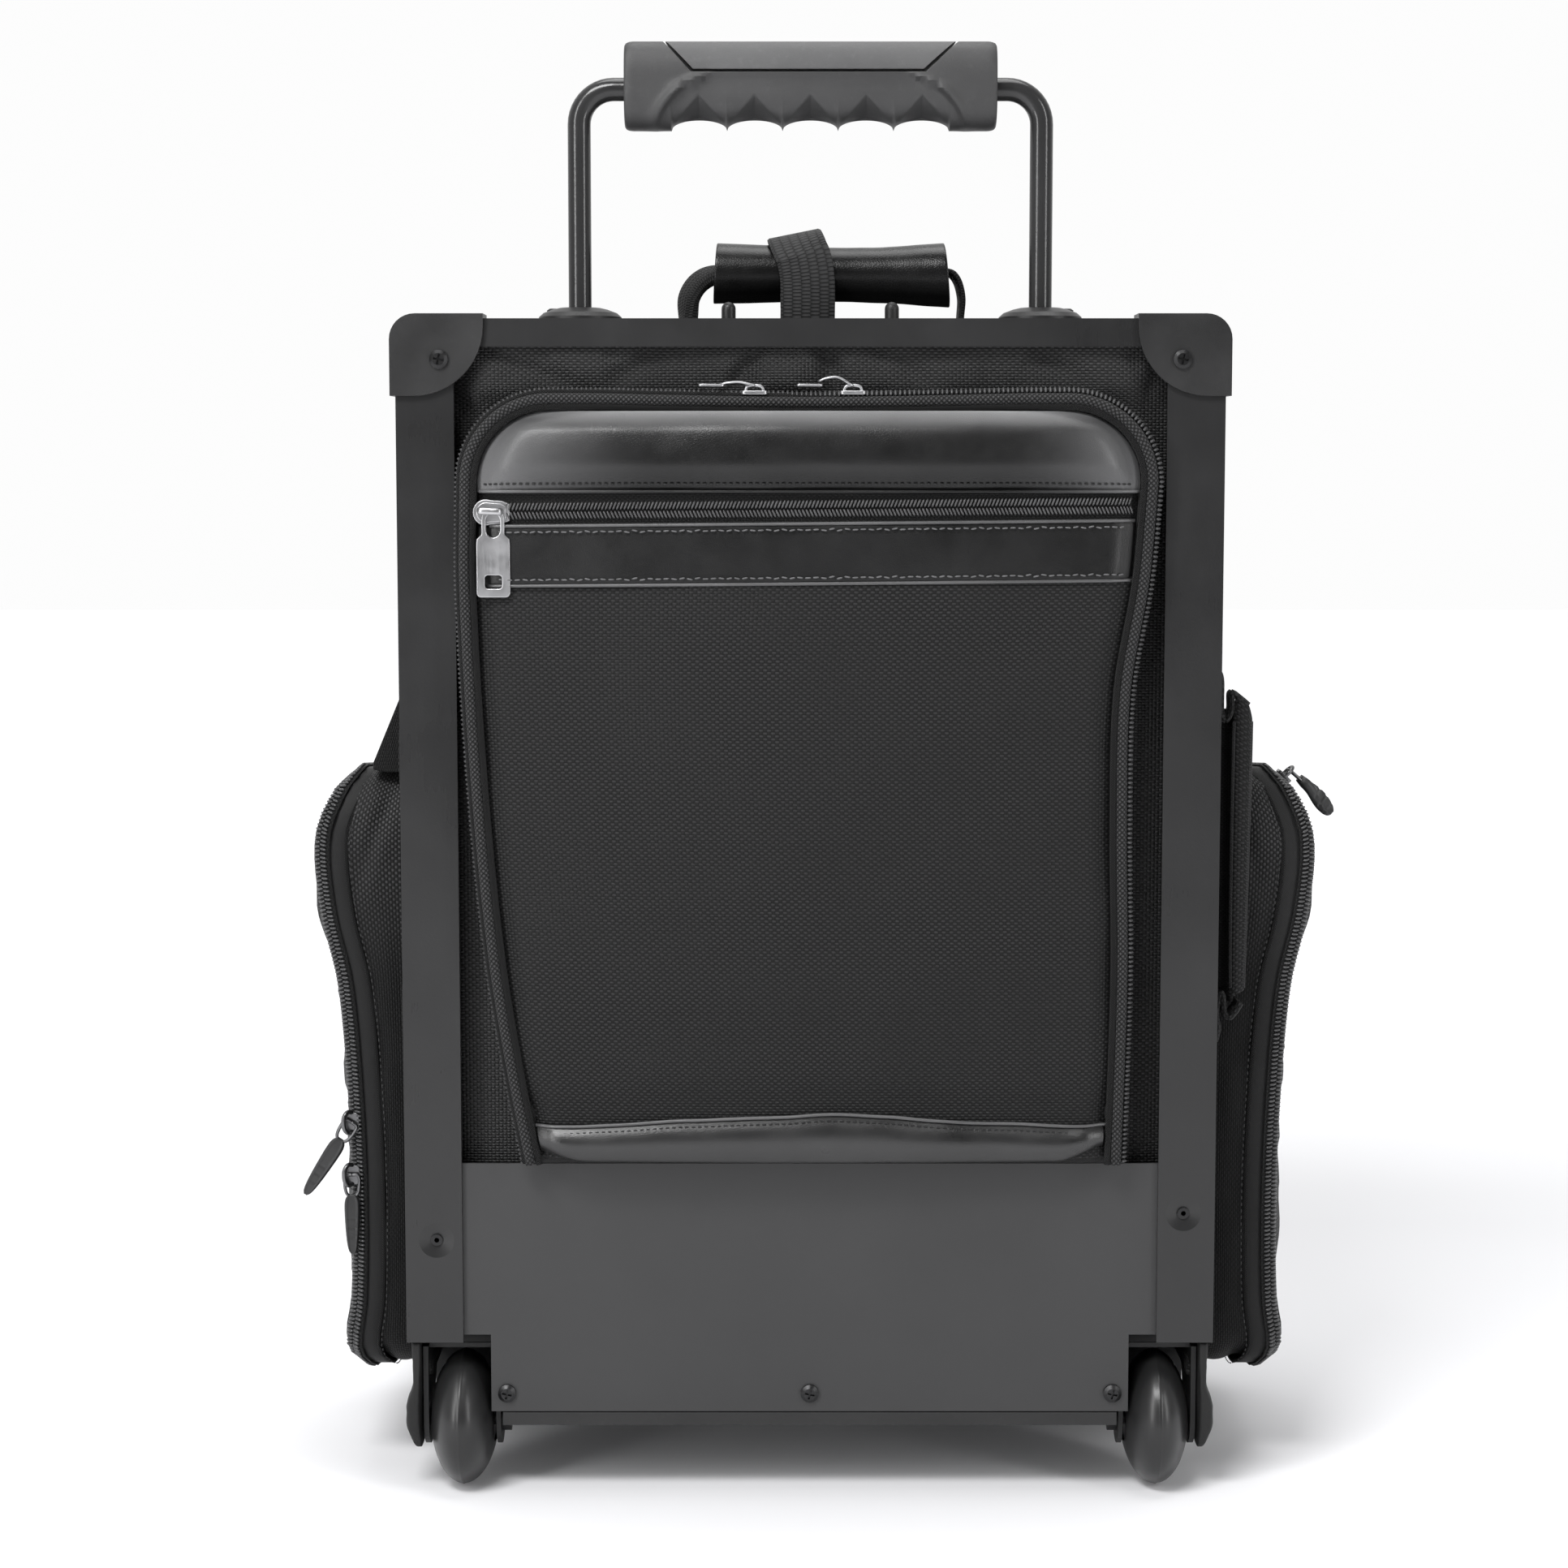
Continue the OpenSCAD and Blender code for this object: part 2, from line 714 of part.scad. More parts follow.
// Sliders of the zip round the trolley-side pocket, on its top edge. Their pulls lie flat
// along that edge, to the left of each slider.
module door_slider(x) {
    color(bright_nickel) translate([x, door_face + 4, door_z1 + 0.3]) rotate([-90, 0, -90]) zip_slider(7, 10);
}

module door_pull(x) {
    color(bright_nickel) translate([x, door_face + 4, door_z1 + 0.3 + bar_h])
        rotate([-90, 0, -90]) metal_pull(24, 7.5);
}

// Sliders on the back edge of the left pocket, and on the top edge of the right one
left_zip_x = 209 - left_slim;
left_upper_z = 161;
left_lower_z = 137;
left_pull_tilt = 36;
right_slider_x = 215.6;
right_slider_y = side_y0 + 27;
right_slider_z = side_z1 - 2.9;

module left_slider(z) {
    color(metal_paint) translate([-left_zip_x, side_y0 - 0.3, z]) zip_slider(7, 9, 1.2);
}

module left_pull(z, tilt) {
    color(black_plastic) translate([-left_zip_x, side_y0 - 0.3 - bar_h, z])
        rotate([0, tilt, 0]) rubber_pull(35, 3.4);
}

// The right-hand slider sits on the pocket's sloping shoulder
module on_shoulder() {
    translate([right_slider_x, right_slider_y, right_slider_z]) rotate([0, 45, 0]) children();
}

module right_slider() {
    color(metal_paint) on_shoulder() rotate([-90, 0, -90]) zip_slider(10, 7);
}

module right_pull() {
    color(black_plastic) on_shoulder() translate([0, 0, bar_h]) rotate([0, -90, 0]) rotate([0, 0, 90]) rubber_pull(26);
}

lid_zip_z = lid_bottom + lid_t / 2;

module lid_slider() {
    color(bright_nickel) translate([0, y_front + 0.6, lid_zip_z]) rotate([0, 0, 180]) zip_slider(12, 7);
}

module lid_pull() {
    color(bright_nickel) translate([0, y_front + 0.6 + bar_h, lid_zip_z]) metal_pull(32, 12);
}

// ---------- Carry handle ----------

module carry_grip() {
    color(leather_black) difference() {
        rod_x(grip_r, carry_x - 47, carry_x + 56, y_carry, carry_z);
        box(carry_x - 60, carry_x + 60, y_carry - 7.4, y_carry + 7.4, carry_z - 1.9, carry_z + 1.9);
    }
}

// Webbing that runs through the grip and turns about the top strip at both ends
module carry_webbing() {
    t = 3;
    r = 5;
    z1 = carry_z + t / 2;
    z0 = carry_pivot_z - webbing_end_r;
    function loop(d) = concat(
        [[carry_x + carry_half - d, z0]],
        arc(carry_x + carry_half - r, z1 - r, r - d, 0, 90),
        arc(carry_x - carry_half + r, z1 - r, r - d, 90, 180),
        [[carry_x - carry_half + d, z0]]);
    inner = loop(t);
    front = concat(
        arc(y_carry, carry_pivot_z, webbing_end_r, 180, 360),
        [[y_carry + 7, carry_pivot_z + 7], [y_carry + 7, z1], [y_carry - 7, z1], [y_carry - 7, carry_pivot_z + 7]]);
    color(fabric_black) intersection() {
        along_y(y_carry - 7, y_carry + 7)
            polygon(concat(loop(0), [for (i = [len(inner) - 1:-1:0]) inner[i]]));
        along_x(carry_x - carry_half, carry_x + carry_half) polygon(front);
    }
}

// Loop of wide webbing round the grip, sewn down behind the top rail
module wrap_strap() {
    z = carry_z + 2.4;
    color(fabric_black) union() {
        difference() {
            rod_x(16.2, -strap_half - 1.5, strap_half - 1.5, y_carry, z);
            rod_x(14.7, -strap_half - 3, strap_half, y_carry, z);
        }
        box(-strap_half - 1.5, strap_half - 1.5, y_carry - 1, y_carry + 1, carry_pivot_z + 1.5, z - 15);
    }
}

// ---------- Nodes ----------

top_rail();
side(-1) side_rail(rivet_z_left);  // side_rail_left
side_rail(rivet_z_right);  // side_rail_right
side(-1) corner_cap();  // corner_cap_left
corner_cap();  // corner_cap_right
pan_screws();
kick_plate();
rail_rivets();
base_tray();
side(-1) wheel_bracket();  // wheel_bracket_left
wheel_bracket();  // wheel_bracket_right
axle_bolts();
wheel_guards();
front_feet();
guide_tubes();
guide_tube_foot();
socket_bezels();
handle_rest_posts();
shell_back();
tube_cover_board();
shell_front();
shell_sides();
shell_bottom();
top_strip();
back_gusset();
side(-1) side_gusset(left_slim);  // side_gusset_left
side_gusset();  // side_gusset_right
front_pocket();
torch_sleeve();
lid_panel();
lid_slider();
lid_pull();
back_door();
pocket_slider();
pocket_pull();
door_slider(-24);  // door_slider_left
door_slider(18);  // door_slider_right
door_pull(-24);  // door_pull_left
door_pull(18);  // door_pull_right
side(-1) side_door(left_slim);  // side_door_left
side_door();  // side_door_right
left_slider(left_upper_z);  // left_slider_upper
left_slider(left_lower_z);  // left_slider_lower
right_slider();
left_pull(left_upper_z, left_pull_tilt);  // left_pull_upper
left_pull(left_lower_z, 0);  // left_pull_lower
right_pull();
carry_grip();
carry_webbing();
wrap_strap();
side(-1) wheel_tyre();  // wheel_tyre_left
wheel_tyre();  // wheel_tyre_right
side(-1) wheel_hub();  // wheel_hub_left
wheel_hub();  // wheel_hub_right
side(-1) wheel_bearings();  // wheel_bearings_left
wheel_bearings();  // wheel_bearings_right
mid_tubes();
handle_tube();
grip_body();
grip_cover();
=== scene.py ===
"""Looks of the rolling pilot flight case: soft goods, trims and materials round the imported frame.

Lengths are in millimetres until a mesh is made. +Z is up and -Y is the trolley side.
"""
import math
from contextlib import contextmanager

import bmesh
import bpy
import numpy as np
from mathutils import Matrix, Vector, noise


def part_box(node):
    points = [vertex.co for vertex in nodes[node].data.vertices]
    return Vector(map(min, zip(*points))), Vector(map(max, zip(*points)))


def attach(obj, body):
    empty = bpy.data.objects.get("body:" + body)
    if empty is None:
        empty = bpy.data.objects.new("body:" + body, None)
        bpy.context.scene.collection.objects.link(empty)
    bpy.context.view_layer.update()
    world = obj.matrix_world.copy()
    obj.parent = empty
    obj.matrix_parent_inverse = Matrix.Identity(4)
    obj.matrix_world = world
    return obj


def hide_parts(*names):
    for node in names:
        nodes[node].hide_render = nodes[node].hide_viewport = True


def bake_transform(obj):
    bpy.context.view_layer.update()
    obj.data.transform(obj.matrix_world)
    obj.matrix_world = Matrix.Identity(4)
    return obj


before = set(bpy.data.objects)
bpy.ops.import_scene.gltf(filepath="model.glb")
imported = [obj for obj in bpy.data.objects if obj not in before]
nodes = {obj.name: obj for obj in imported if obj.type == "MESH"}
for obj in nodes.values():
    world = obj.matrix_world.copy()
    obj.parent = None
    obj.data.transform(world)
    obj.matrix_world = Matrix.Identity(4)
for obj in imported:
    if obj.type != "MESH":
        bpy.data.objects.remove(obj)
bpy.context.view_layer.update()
MM = 0.001
X, Y, Z = Vector((1, 0, 0)), Vector((0, 1, 0)), Vector((0, 0, 1))
DOOR = "trolley_side_door"
SIDES = ((-1, "left"), (1, "right"))


def cad(node):
    """Lowest and highest corner of a CAD node in millimetres."""
    low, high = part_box(node)
    return low / MM, high / MM


# ---------------------------------------------------------------- places read from the frame

RAIL_LO, RAIL_HI = cad("side_rail_right")
TOP_HI = cad("top_rail")[1]
DOOR_LO, DOOR_HI = cad("back_door")
LID_LO, LID_HI = cad("lid_panel")
STRIP_LO, STRIP_HI = cad("top_strip")
SIDES_LO, SIDES_HI = cad("shell_sides")
SIDE_LO, SIDE_HI = cad("side_gusset_right")
LEFT_POCKET = cad("side_gusset_left")[0] * -1
SLEEVE_LO, SLEEVE_HI = cad("torch_sleeve")
POCKET_LO, POCKET_HI = cad("front_pocket")
GRIP_LO, GRIP_HI = cad("grip_body")
CARRY_LO, CARRY_HI = cad("carry_grip")
BACK_LO = cad("shell_back")[0]
BACK = RAIL_LO.y                      # plane of the rails' outer faces
HALF_W = RAIL_HI.x
RAIL_INNER = RAIL_LO.x
FACE = DOOR_LO.y                      # outer face of the trolley-side pocket
TUBE_Y = (GRIP_LO.y + GRIP_HI.y) / 2
CARRY_Y = (CARRY_LO.y + CARRY_HI.y) / 2
CARRY_Z = (CARRY_LO.z + CARRY_HI.z) / 2
CARRY_BASE = STRIP_HI.z - 3            # where its webbing is sewn to the top
TUBE_X = 100                           # the tubes stand this far to each side


# ---------------------------------------------------------------- small helpers

def lerp(a, b, t):
    return a + (b - a) * t


def clamp(t):
    return min(max(t, 0), 1)


def ease(t):
    """0 below 0, 1 above 1, and a smooth step between."""
    t = clamp(t)
    return t * t * (3 - 2 * t)


def hump(t, power=1.0):
    """0 at both ends of 0 to 1 and 1 in the middle. A power under 1 makes it blunter."""
    return math.sin(math.pi * t) ** power


def roll(t):
    """A quarter circle: steep at 0, and level from 1 on."""
    return math.sqrt(max(1 - (1 - min(t, 1)) ** 2, 0))


def signed_power(value, power):
    """Turns the cosine and sine of a circle into those of a rounded box."""
    return math.copysign(abs(value) ** power, value)


def bell(distance, width):
    """1 at distance 0, falling off within about the width."""
    return math.exp(-(distance / width) ** 2)


def follow(points, at):
    """The value at one place of a smooth curve through (place, value) pairs."""
    if at <= points[0][0]:
        return points[0][1]
    if at >= points[-1][0]:
        return points[-1][1]
    k = max(i for i in range(len(points) - 1) if points[i][0] <= at)
    (a, va), (b, vb) = points[k], points[k + 1]
    before, after = points[max(k - 1, 0)], points[min(k + 2, len(points) - 1)]
    slope_a = (vb - before[1]) / (b - before[0])
    slope_b = (after[1] - va) / (after[0] - a)
    span, t = b - a, (at - a) / (b - a)
    return ((2 * t**3 - 3 * t**2 + 1) * va + (t**3 - 2 * t**2 + t) * span * slope_a
            + (3 * t**2 - 2 * t**3) * vb + (t**3 - t**2) * span * slope_b)


def folds(p, size, amount, stretch=(1, 1, 1)):
    """Soft random relief at a point: size is the width of a fold and amount its height."""
    q = Vector((p[0] / stretch[0], p[1] / stretch[1], p[2] / stretch[2])) / size
    return amount * (noise.noise(q) + 0.4 * noise.noise(q * 2.3))


def crease(x, z, a, b, width, depth):
    """A soft valley along the line from a to b."""
    ax, az = a
    bx, bz = b
    length = (bx - ax) ** 2 + (bz - az) ** 2
    t = min(max(((x - ax) * (bx - ax) + (z - az) * (bz - az)) / length, 0.0), 1.0)
    away = math.hypot(x - lerp(ax, bx, t), z - lerp(az, bz, t))
    return -depth * bell(away, width) * (0.4 + 0.6 * hump(t))


def round_section(radius, sides=10):
    return [(radius * math.cos(2 * math.pi * k / sides), radius * math.sin(2 * math.pi * k / sides))
            for k in range(sides)]


def strap_section(width, thick):
    """Flat strap with soft edges, as (across, along the normal) pairs."""
    w, t = width / 2, thick / 2
    return [(-w, -t * 0.4), (-w + t, -t), (0, -t), (w - t, -t), (w, -t * 0.4),
            (w, t * 0.4), (w - t, t), (0, t), (-w + t, t), (-w, t * 0.4)]


def arc_points(centre, radius, start, end, count=10):
    """Points of an arc in degrees, as pairs."""
    turns = [math.radians(lerp(start, end, k / count)) for k in range(count + 1)]
    return [(centre[0] + radius * math.cos(a), centre[1] + radius * math.sin(a)) for a in turns]


def rounded_box(a0, a1, b0, b1, r, count=5):
    """Corners of a rectangle with round corners, as pairs."""
    return (arc_points((a1 - r, b0 + r), r, -90, 0, count) + arc_points((a1 - r, b1 - r), r, 0, 90, count)
            + arc_points((a0 + r, b1 - r), r, 90, 180, count)
            + arc_points((a0 + r, b0 + r), r, 180, 270, count))


def rounded_plan(x, y0, y1, r, count=12):
    """Lid outline from the left hinge end round the front, as pairs."""
    return ([(-x, y) for y in np.linspace(y0, y1 - r, 14)][:-1]
            + arc_points((-x + r, y1 - r), r, 180, 90, count)
            + [(lx, y1) for lx in np.linspace(-x + r, x - r, 30)[1:-1]]
            + arc_points((x - r, y1 - r), r, 90, 0, count)
            + [(x, y) for y in np.linspace(y1 - r, y0, 14)][1:])


def smooth_path(points, steps=6):
    """A smooth curve through a few 3-D points."""
    points = [Vector(p) for p in points]
    curve = []
    for k in range(len(points) - 1):
        p0, p1, p2 = points[max(k - 1, 0)], points[k], points[k + 1]
        p3 = points[min(k + 2, len(points) - 1)]
        for s in range(steps):
            t = s / steps
            curve.append(0.5 * (2 * p1 + (p2 - p0) * t + (2 * p0 - 5 * p1 + 4 * p2 - p3) * t * t
                                + (3 * p1 - p0 - 3 * p2 + p3) * t**3))
    return curve + [points[-1]]


def at_steps(path, pitch, closed=False, start=0.0):
    """(point, direction) pairs every pitch along a path."""
    points = [Vector(p) for p in path] + ([Vector(path[0])] if closed else [])
    found, left = [], start
    for a, b in zip(points, points[1:]):
        length = (b - a).length
        while left <= length and length > 0:
            found.append((a.lerp(b, left / length), (b - a).normalized()))
            left += pitch
        left -= length
    return found


# ---------------------------------------------------------------- mesh makers

def put_in_scene(name, data):
    obj = bpy.data.objects.new(name, data)
    bpy.context.scene.collection.objects.link(obj)
    return obj


@contextmanager
def edited(obj):
    """The object's mesh for editing. It is written back at the end."""
    mesh = bmesh.new()
    mesh.from_mesh(obj.data)
    yield mesh
    mesh.to_mesh(obj.data)
    mesh.free()


def make(name, verts, faces, corner_uvs=None, smooth=True):
    """An object from points in millimetres. corner_uvs has one pair in millimetres per face corner."""
    mesh = bpy.data.meshes.new(name)
    mesh.from_pydata([(v[0] * MM, v[1] * MM, v[2] * MM) for v in verts], [], faces)
    if corner_uvs is not None:
        layer = mesh.uv_layers.new(name="UVMap")
        layer.data.foreach_set("uv", np.array(corner_uvs, np.float32).ravel())
    mesh.polygons.foreach_set("use_smooth", [smooth] * len(mesh.polygons))
    return put_in_scene(name, mesh)


def shade_smooth(obj):
    obj.data.polygons.foreach_set("use_smooth", [True] * len(obj.data.polygons))


def merge(obj, distance=0.05):
    """Welds points that lie on each other."""
    with edited(obj) as mesh:
        bmesh.ops.remove_doubles(mesh, verts=mesh.verts, dist=distance * MM)


def close_ends(obj):
    """Fills open rims and turns every face outwards."""
    with edited(obj) as mesh:
        rim = [e for e in mesh.edges if e.is_boundary]
        bmesh.ops.holes_fill(mesh, edges=rim, sides=0)
        bmesh.ops.recalc_face_normals(mesh, faces=mesh.faces)


def grid(name, columns, rows, point, wrap=False):
    """A sheet whose points are point(u, v), with u and v from 0 to 1."""
    verts = [[Vector(point(i / columns, j / rows)) for i in range(columns + 1)] for j in range(rows + 1)]
    middle = verts[rows // 2]
    across = np.cumsum([0] + [(b - a).length for a, b in zip(middle, middle[1:])])
    up = np.cumsum([0] + [(verts[j + 1][columns // 2] - verts[j][columns // 2]).length
                          for j in range(rows)])
    width = columns if wrap else columns + 1
    flat = [verts[j][i] for j in range(rows + 1) for i in range(width)]
    faces, uvs = [], []
    for j in range(rows):
        for i in range(columns):
            corners = ((i, j), (i + 1, j), (i + 1, j + 1), (i, j + 1))
            faces.append([b * width + a % width for a, b in corners])
            uvs += [(across[a], up[b]) for a, b in corners]
    return make(name, flat, faces, uvs)


def closed_grid(name, columns, rows, point, weld=0.005):
    """A grid that comes back to its start, made into a closed solid."""
    obj = grid(name, columns, rows, point)
    merge(obj, weld)
    close_ends(obj)
    return obj


def sweep(name, path, section, up=None, closed=False, twist=None):
    """Carries a section along a path. up is the section's normal: one vector, one per point, or none."""
    path = [Vector(p) for p in path]
    count, sides = len(path), len(section)
    around = np.cumsum([0] + [math.dist(section[k], section[(k + 1) % sides]) for k in range(sides)])
    verts, length, lengths, normal = [], 0.0, [], None
    for i, p in enumerate(path):
        ahead = path[(i + 1) % count] if closed or i < count - 1 else p
        behind = path[i - 1] if closed or i > 0 else p
        tangent = (ahead - behind).normalized()
        if up is None:
            normal = normal or tangent.orthogonal()
            wanted = normal
        else:
            wanted = up[i] if isinstance(up, list) else up
        normal = (wanted - tangent * wanted.dot(tangent)).normalized()
        side = tangent.cross(normal)
        turn = math.radians(twist(i / (count - 1))) if twist else 0.0
        a_dir = side * math.cos(turn) + normal * math.sin(turn)
        b_dir = normal * math.cos(turn) - side * math.sin(turn)
        verts += [p + a_dir * a + b_dir * b for a, b in section]
        length += (p - path[i - 1]).length if i else 0.0
        lengths.append(length)
    lengths.append(length + (path[0] - path[-1]).length)
    faces, uvs = [], []
    for i in range(count if closed else count - 1):
        for j in range(sides):
            corners = ((i, j), (i, j + 1), (i + 1, j + 1), (i + 1, j))
            faces.append([(a % count) * sides + b % sides for a, b in corners])
            uvs += [(lengths[a], around[b]) for a, b in corners]
    if not closed:
        for ring, order in ((0, -1), (count - 1, 1)):
            faces.append([ring * sides + j for j in range(sides)][::order])
            uvs += [section[j] for j in range(sides)][::order]
    return make(name, verts, faces, uvs)


def wire(name, points, radius, steps=6, closed=False, sides=10):
    """A bent wire through a few points."""
    return sweep(name, smooth_path(points, steps), round_section(radius, sides), closed=closed)


def prism(name, outline, y0, y1):
    """A solid with that outline in X and Z."""
    count = len(outline)
    verts = [(x, y, z) for y in (y0, y1) for x, z in outline]
    faces = [[k, (k + 1) % count, count + (k + 1) % count, count + k] for k in range(count)]
    faces += [list(range(count))[::-1], list(range(count, 2 * count))]
    obj = make(name, verts, faces, smooth=False)
    close_ends(obj)
    return obj


def plate(name, outline, holes, low, high, place, edge=0.5):
    """A flat part with rounded rims: outline and holes are pairs, and place(a, b, h) puts them in space."""
    mesh = bmesh.new()
    rims = []
    for ring in [outline] + list(holes):
        verts = [mesh.verts.new((a, b, low)) for a, b in ring]
        rims += [mesh.edges.new((verts[k], verts[(k + 1) % len(verts)])) for k in range(len(verts))]
    bmesh.ops.triangle_fill(mesh, edges=rims, use_beauty=True)
    inner = [e for e in mesh.edges if len(e.link_faces) == 2]
    bmesh.ops.dissolve_limit(mesh, angle_limit=0.01, verts=mesh.verts, edges=inner)
    raised = bmesh.ops.extrude_face_region(mesh, geom=mesh.faces[:])
    for g in raised["geom"]:
        if isinstance(g, bmesh.types.BMVert):
            g.co.z = high
    bmesh.ops.recalc_face_normals(mesh, faces=mesh.faces)
    for v in mesh.verts:
        v.co = Vector(place(v.co.x, v.co.y, v.co.z)) * MM
    bmesh.ops.recalc_face_normals(mesh, faces=mesh.faces)
    data = bpy.data.meshes.new(name)
    mesh.to_mesh(data)
    mesh.free()
    obj = put_in_scene(name, data)
    shade_smooth(obj)
    soften(obj, edge, 3, 40).modifiers[-1].harden_normals = True
    return obj


def pegs(name, places):
    """Many small rounded pegs in one mesh: each place is (centre, length vector, width vector, height)."""
    rings = [(-0.5, 0.5), (-0.28, 1.0), (0.28, 1.0), (0.5, 0.5)]
    sides = 6
    base = [(x, 0.5 * r * math.cos(2 * math.pi * k / sides), 0.5 * r * math.sin(2 * math.pi * k / sides))
            for x, r in rings for k in range(sides)]
    quads = [(r * sides + k, r * sides + (k + 1) % sides, (r + 1) * sides + (k + 1) % sides,
              (r + 1) * sides + k)
             for r in range(len(rings) - 1) for k in range(sides)]
    ends = [tuple(range(sides))[::-1], tuple(range(len(base) - sides, len(base)))]
    verts, faces = [], []
    for centre, along, across, height in places:
        up = along.cross(across).normalized() * height
        first = len(verts)
        verts += [centre + along * x + across * y + up * z for x, y, z in base]
        faces += [[first + k for k in face] for face in quads + ends]
    return make(name, verts, faces)


def stitches(path, up, pitch=3.6, length=2.5, thick=0.75):
    """Places for pegs along a seam."""
    return [(p, t * length, t.cross(up).normalized() * thick, thick) for p, t in at_steps(path, pitch)]


def zip_teeth(path, up, pitch, half, closed=False, thick=1.2, slant=0.45):
    """Places for pegs that look like a closed coil zip: two rows of teeth that meet in a groove."""
    places = []
    for p, t in at_steps(path, pitch, closed):
        normal = up(p) if callable(up) else up
        side = t.cross(normal).normalized()
        for s in (-1, 1):
            lean = (side * s + t * slant).normalized()
            centre = p + side * (s * half * 0.52) + t * (0.5 * pitch if s > 0 else 0.0)
            places.append((centre, lean * half * 0.98, lean.cross(normal).normalized() * pitch * 0.62,
                           thick))
    return places


def pad(name, outline, low, high, puff, rings=14):
    """A padded panel with that outline: flat underside, soft rim and crowned top."""
    centre = Vector((0, (min(p[1] for p in outline) + max(p[1] for p in outline)) / 2, 0))
    count = len(outline)
    levels = [(1.0, low), (1.0, lerp(low, high, 0.5))]
    levels += [(1 - 0.02 * k * k / 9, lerp(lerp(low, high, 0.5), high, math.sin(k / 3 * math.pi / 2)))
               for k in (1, 2, 3)]
    scales = [(0.98 * (1 - k / rings), high) for k in range(1, rings)]
    verts, faces = [], []
    for scale, z in levels + scales:
        for x, y in outline:
            p = centre + (Vector((x, y, 0)) - centre) * scale
            crown = puff * (1 - max(scale - 0.02, 0) ** 3) if z == high else 0.0
            verts.append(p + Z * (z + crown + (folds((p.x, p.y, 0), 45, 0.5) if crown else 0)))
    for ring in range(len(levels + scales) - 1):
        for k in range(count):
            a, b = ring * count + k, ring * count + (k + 1) % count
            faces.append([a, b, b + count, a + count])
    last = (len(levels + scales) - 1) * count
    verts.append(centre + Z * (high + puff))
    faces += [[last + k, last + (k + 1) % count, len(verts) - 1] for k in range(count)]
    faces.append(list(range(count))[::-1])
    obj = make(name, verts, faces)
    set_plan_uvs(obj)
    return obj


def set_plan_uvs(obj):
    """Surface coordinates in millimetres from the side that each face looks to."""
    mesh = obj.data
    layer = mesh.uv_layers.get("UVMap") or mesh.uv_layers.new(name="UVMap")
    for face in mesh.polygons:
        n = [abs(c) for c in face.normal]
        keep = [(1, 2), (0, 2), (0, 1)][n.index(max(n))]
        for corner in face.loop_indices:
            co = mesh.vertices[mesh.loops[corner].vertex_index].co / MM
            layer.data[corner].uv = (co[keep[0]], co[keep[1]])


def thicken(obj, thickness, edge=0.0, offset=-1):
    """Makes a sheet solid, with softened rims."""
    solid = obj.modifiers.new("Solid", "SOLIDIFY")
    solid.thickness, solid.offset = thickness * MM, offset
    solid.use_even_offset = False
    if edge:
        soften(obj, edge)
    return obj


def soften(obj, width, segments=2, angle=35):
    """Rounds the sharp edges of a hard part and keeps its flat faces flat."""
    bevel = obj.modifiers.new("Soft_edges", "BEVEL")
    bevel.width, bevel.segments = width * MM, segments
    bevel.limit_method, bevel.angle_limit = "ANGLE", math.radians(angle)
    bevel.harden_normals = False
    return obj


def apply_modifiers(obj):
    """Bakes the modifiers into the mesh."""
    graph = bpy.context.evaluated_depsgraph_get()
    mesh = bpy.data.meshes.new_from_object(obj.evaluated_get(graph))
    obj.modifiers.clear()
    obj.data = mesh
    return obj


def carve(obj, tool, operation):
    cut = obj.modifiers.new("Carve", "BOOLEAN")
    cut.object, cut.operation, cut.solver = tool, operation, "EXACT"
    apply_modifiers(obj)
    bpy.data.objects.remove(tool)
    return obj


def cut_holes(obj, centres, radius):
    """Takes out the faces of a sheet within radius of upright axes, and pulls the rim onto the circle."""
    def from_centre(co, centre):
        return co.x / MM - centre[0], co.y / MM - centre[1]
    with edited(obj) as mesh:
        for centre in centres:
            inside = [f for f in mesh.faces
                      if math.hypot(*from_centre(f.calc_center_median(), centre)) < radius]
            bmesh.ops.delete(mesh, geom=inside, context="FACES")
        for v in mesh.verts:
            for cx, cy in centres:
                dx, dy = from_centre(v.co, (cx, cy))
                away = math.hypot(dx, dy)
                if v.is_boundary and 0 < away < radius * 1.6:
                    v.co.x, v.co.y = (cx + dx / away * radius) * MM, (cy + dy / away * radius) * MM


def join(name, parts):
    """One object from several, so that a slider or a pull stays one piece."""
    for part in parts:
        apply_modifiers(part)
    whole = bmesh.new()
    for part in parts:
        whole.from_mesh(part.data)
        bpy.data.objects.remove(part)
    data = bpy.data.meshes.new(name)
    whole.to_mesh(data)
    whole.free()
    return put_in_scene(name, data)


def billow(obj, held, toward, pressure=6.0, slack=0.03, cap=6.0):
    """Swells padded fabric by cloth simulation between the seams where held(point) is true."""
    scene = bpy.context.scene
    rest = [v.co.copy() for v in obj.data.vertices]
    group = obj.vertex_groups.new(name="Held")
    group.add([i for i, co in enumerate(rest) if held(co / MM)], 1.0, "REPLACE")
    facing = sum((f.normal * f.area for f in obj.data.polygons), Vector())
    cloth = obj.modifiers.new("Cloth", "CLOTH")
    settings = cloth.settings
    settings.quality, settings.mass = 6, 0.25
    settings.tension_stiffness = settings.compression_stiffness = 12
    settings.bending_stiffness = 0.6
    settings.use_pressure = True
    settings.uniform_pressure_force = pressure if facing.dot(toward) >= 0 else -pressure
    settings.shrink_min = settings.shrink_max = -slack
    settings.effector_weights.gravity = 0
    settings.vertex_group_mass = "Held"
    for number in range(1, 21):
        scene.frame_set(number)
    swollen = obj.evaluated_get(bpy.context.evaluated_depsgraph_get()).data
    moves = [swollen.vertices[i].co - co for i, co in enumerate(rest)]
    obj.modifiers.remove(cloth)
    obj.vertex_groups.remove(group)
    for v, co, move in zip(obj.data.vertices, rest, moves):
        v.co = co + move * min(1.0, cap * MM / max(move.length, 1e-9))
    scene.frame_set(1)
    return obj


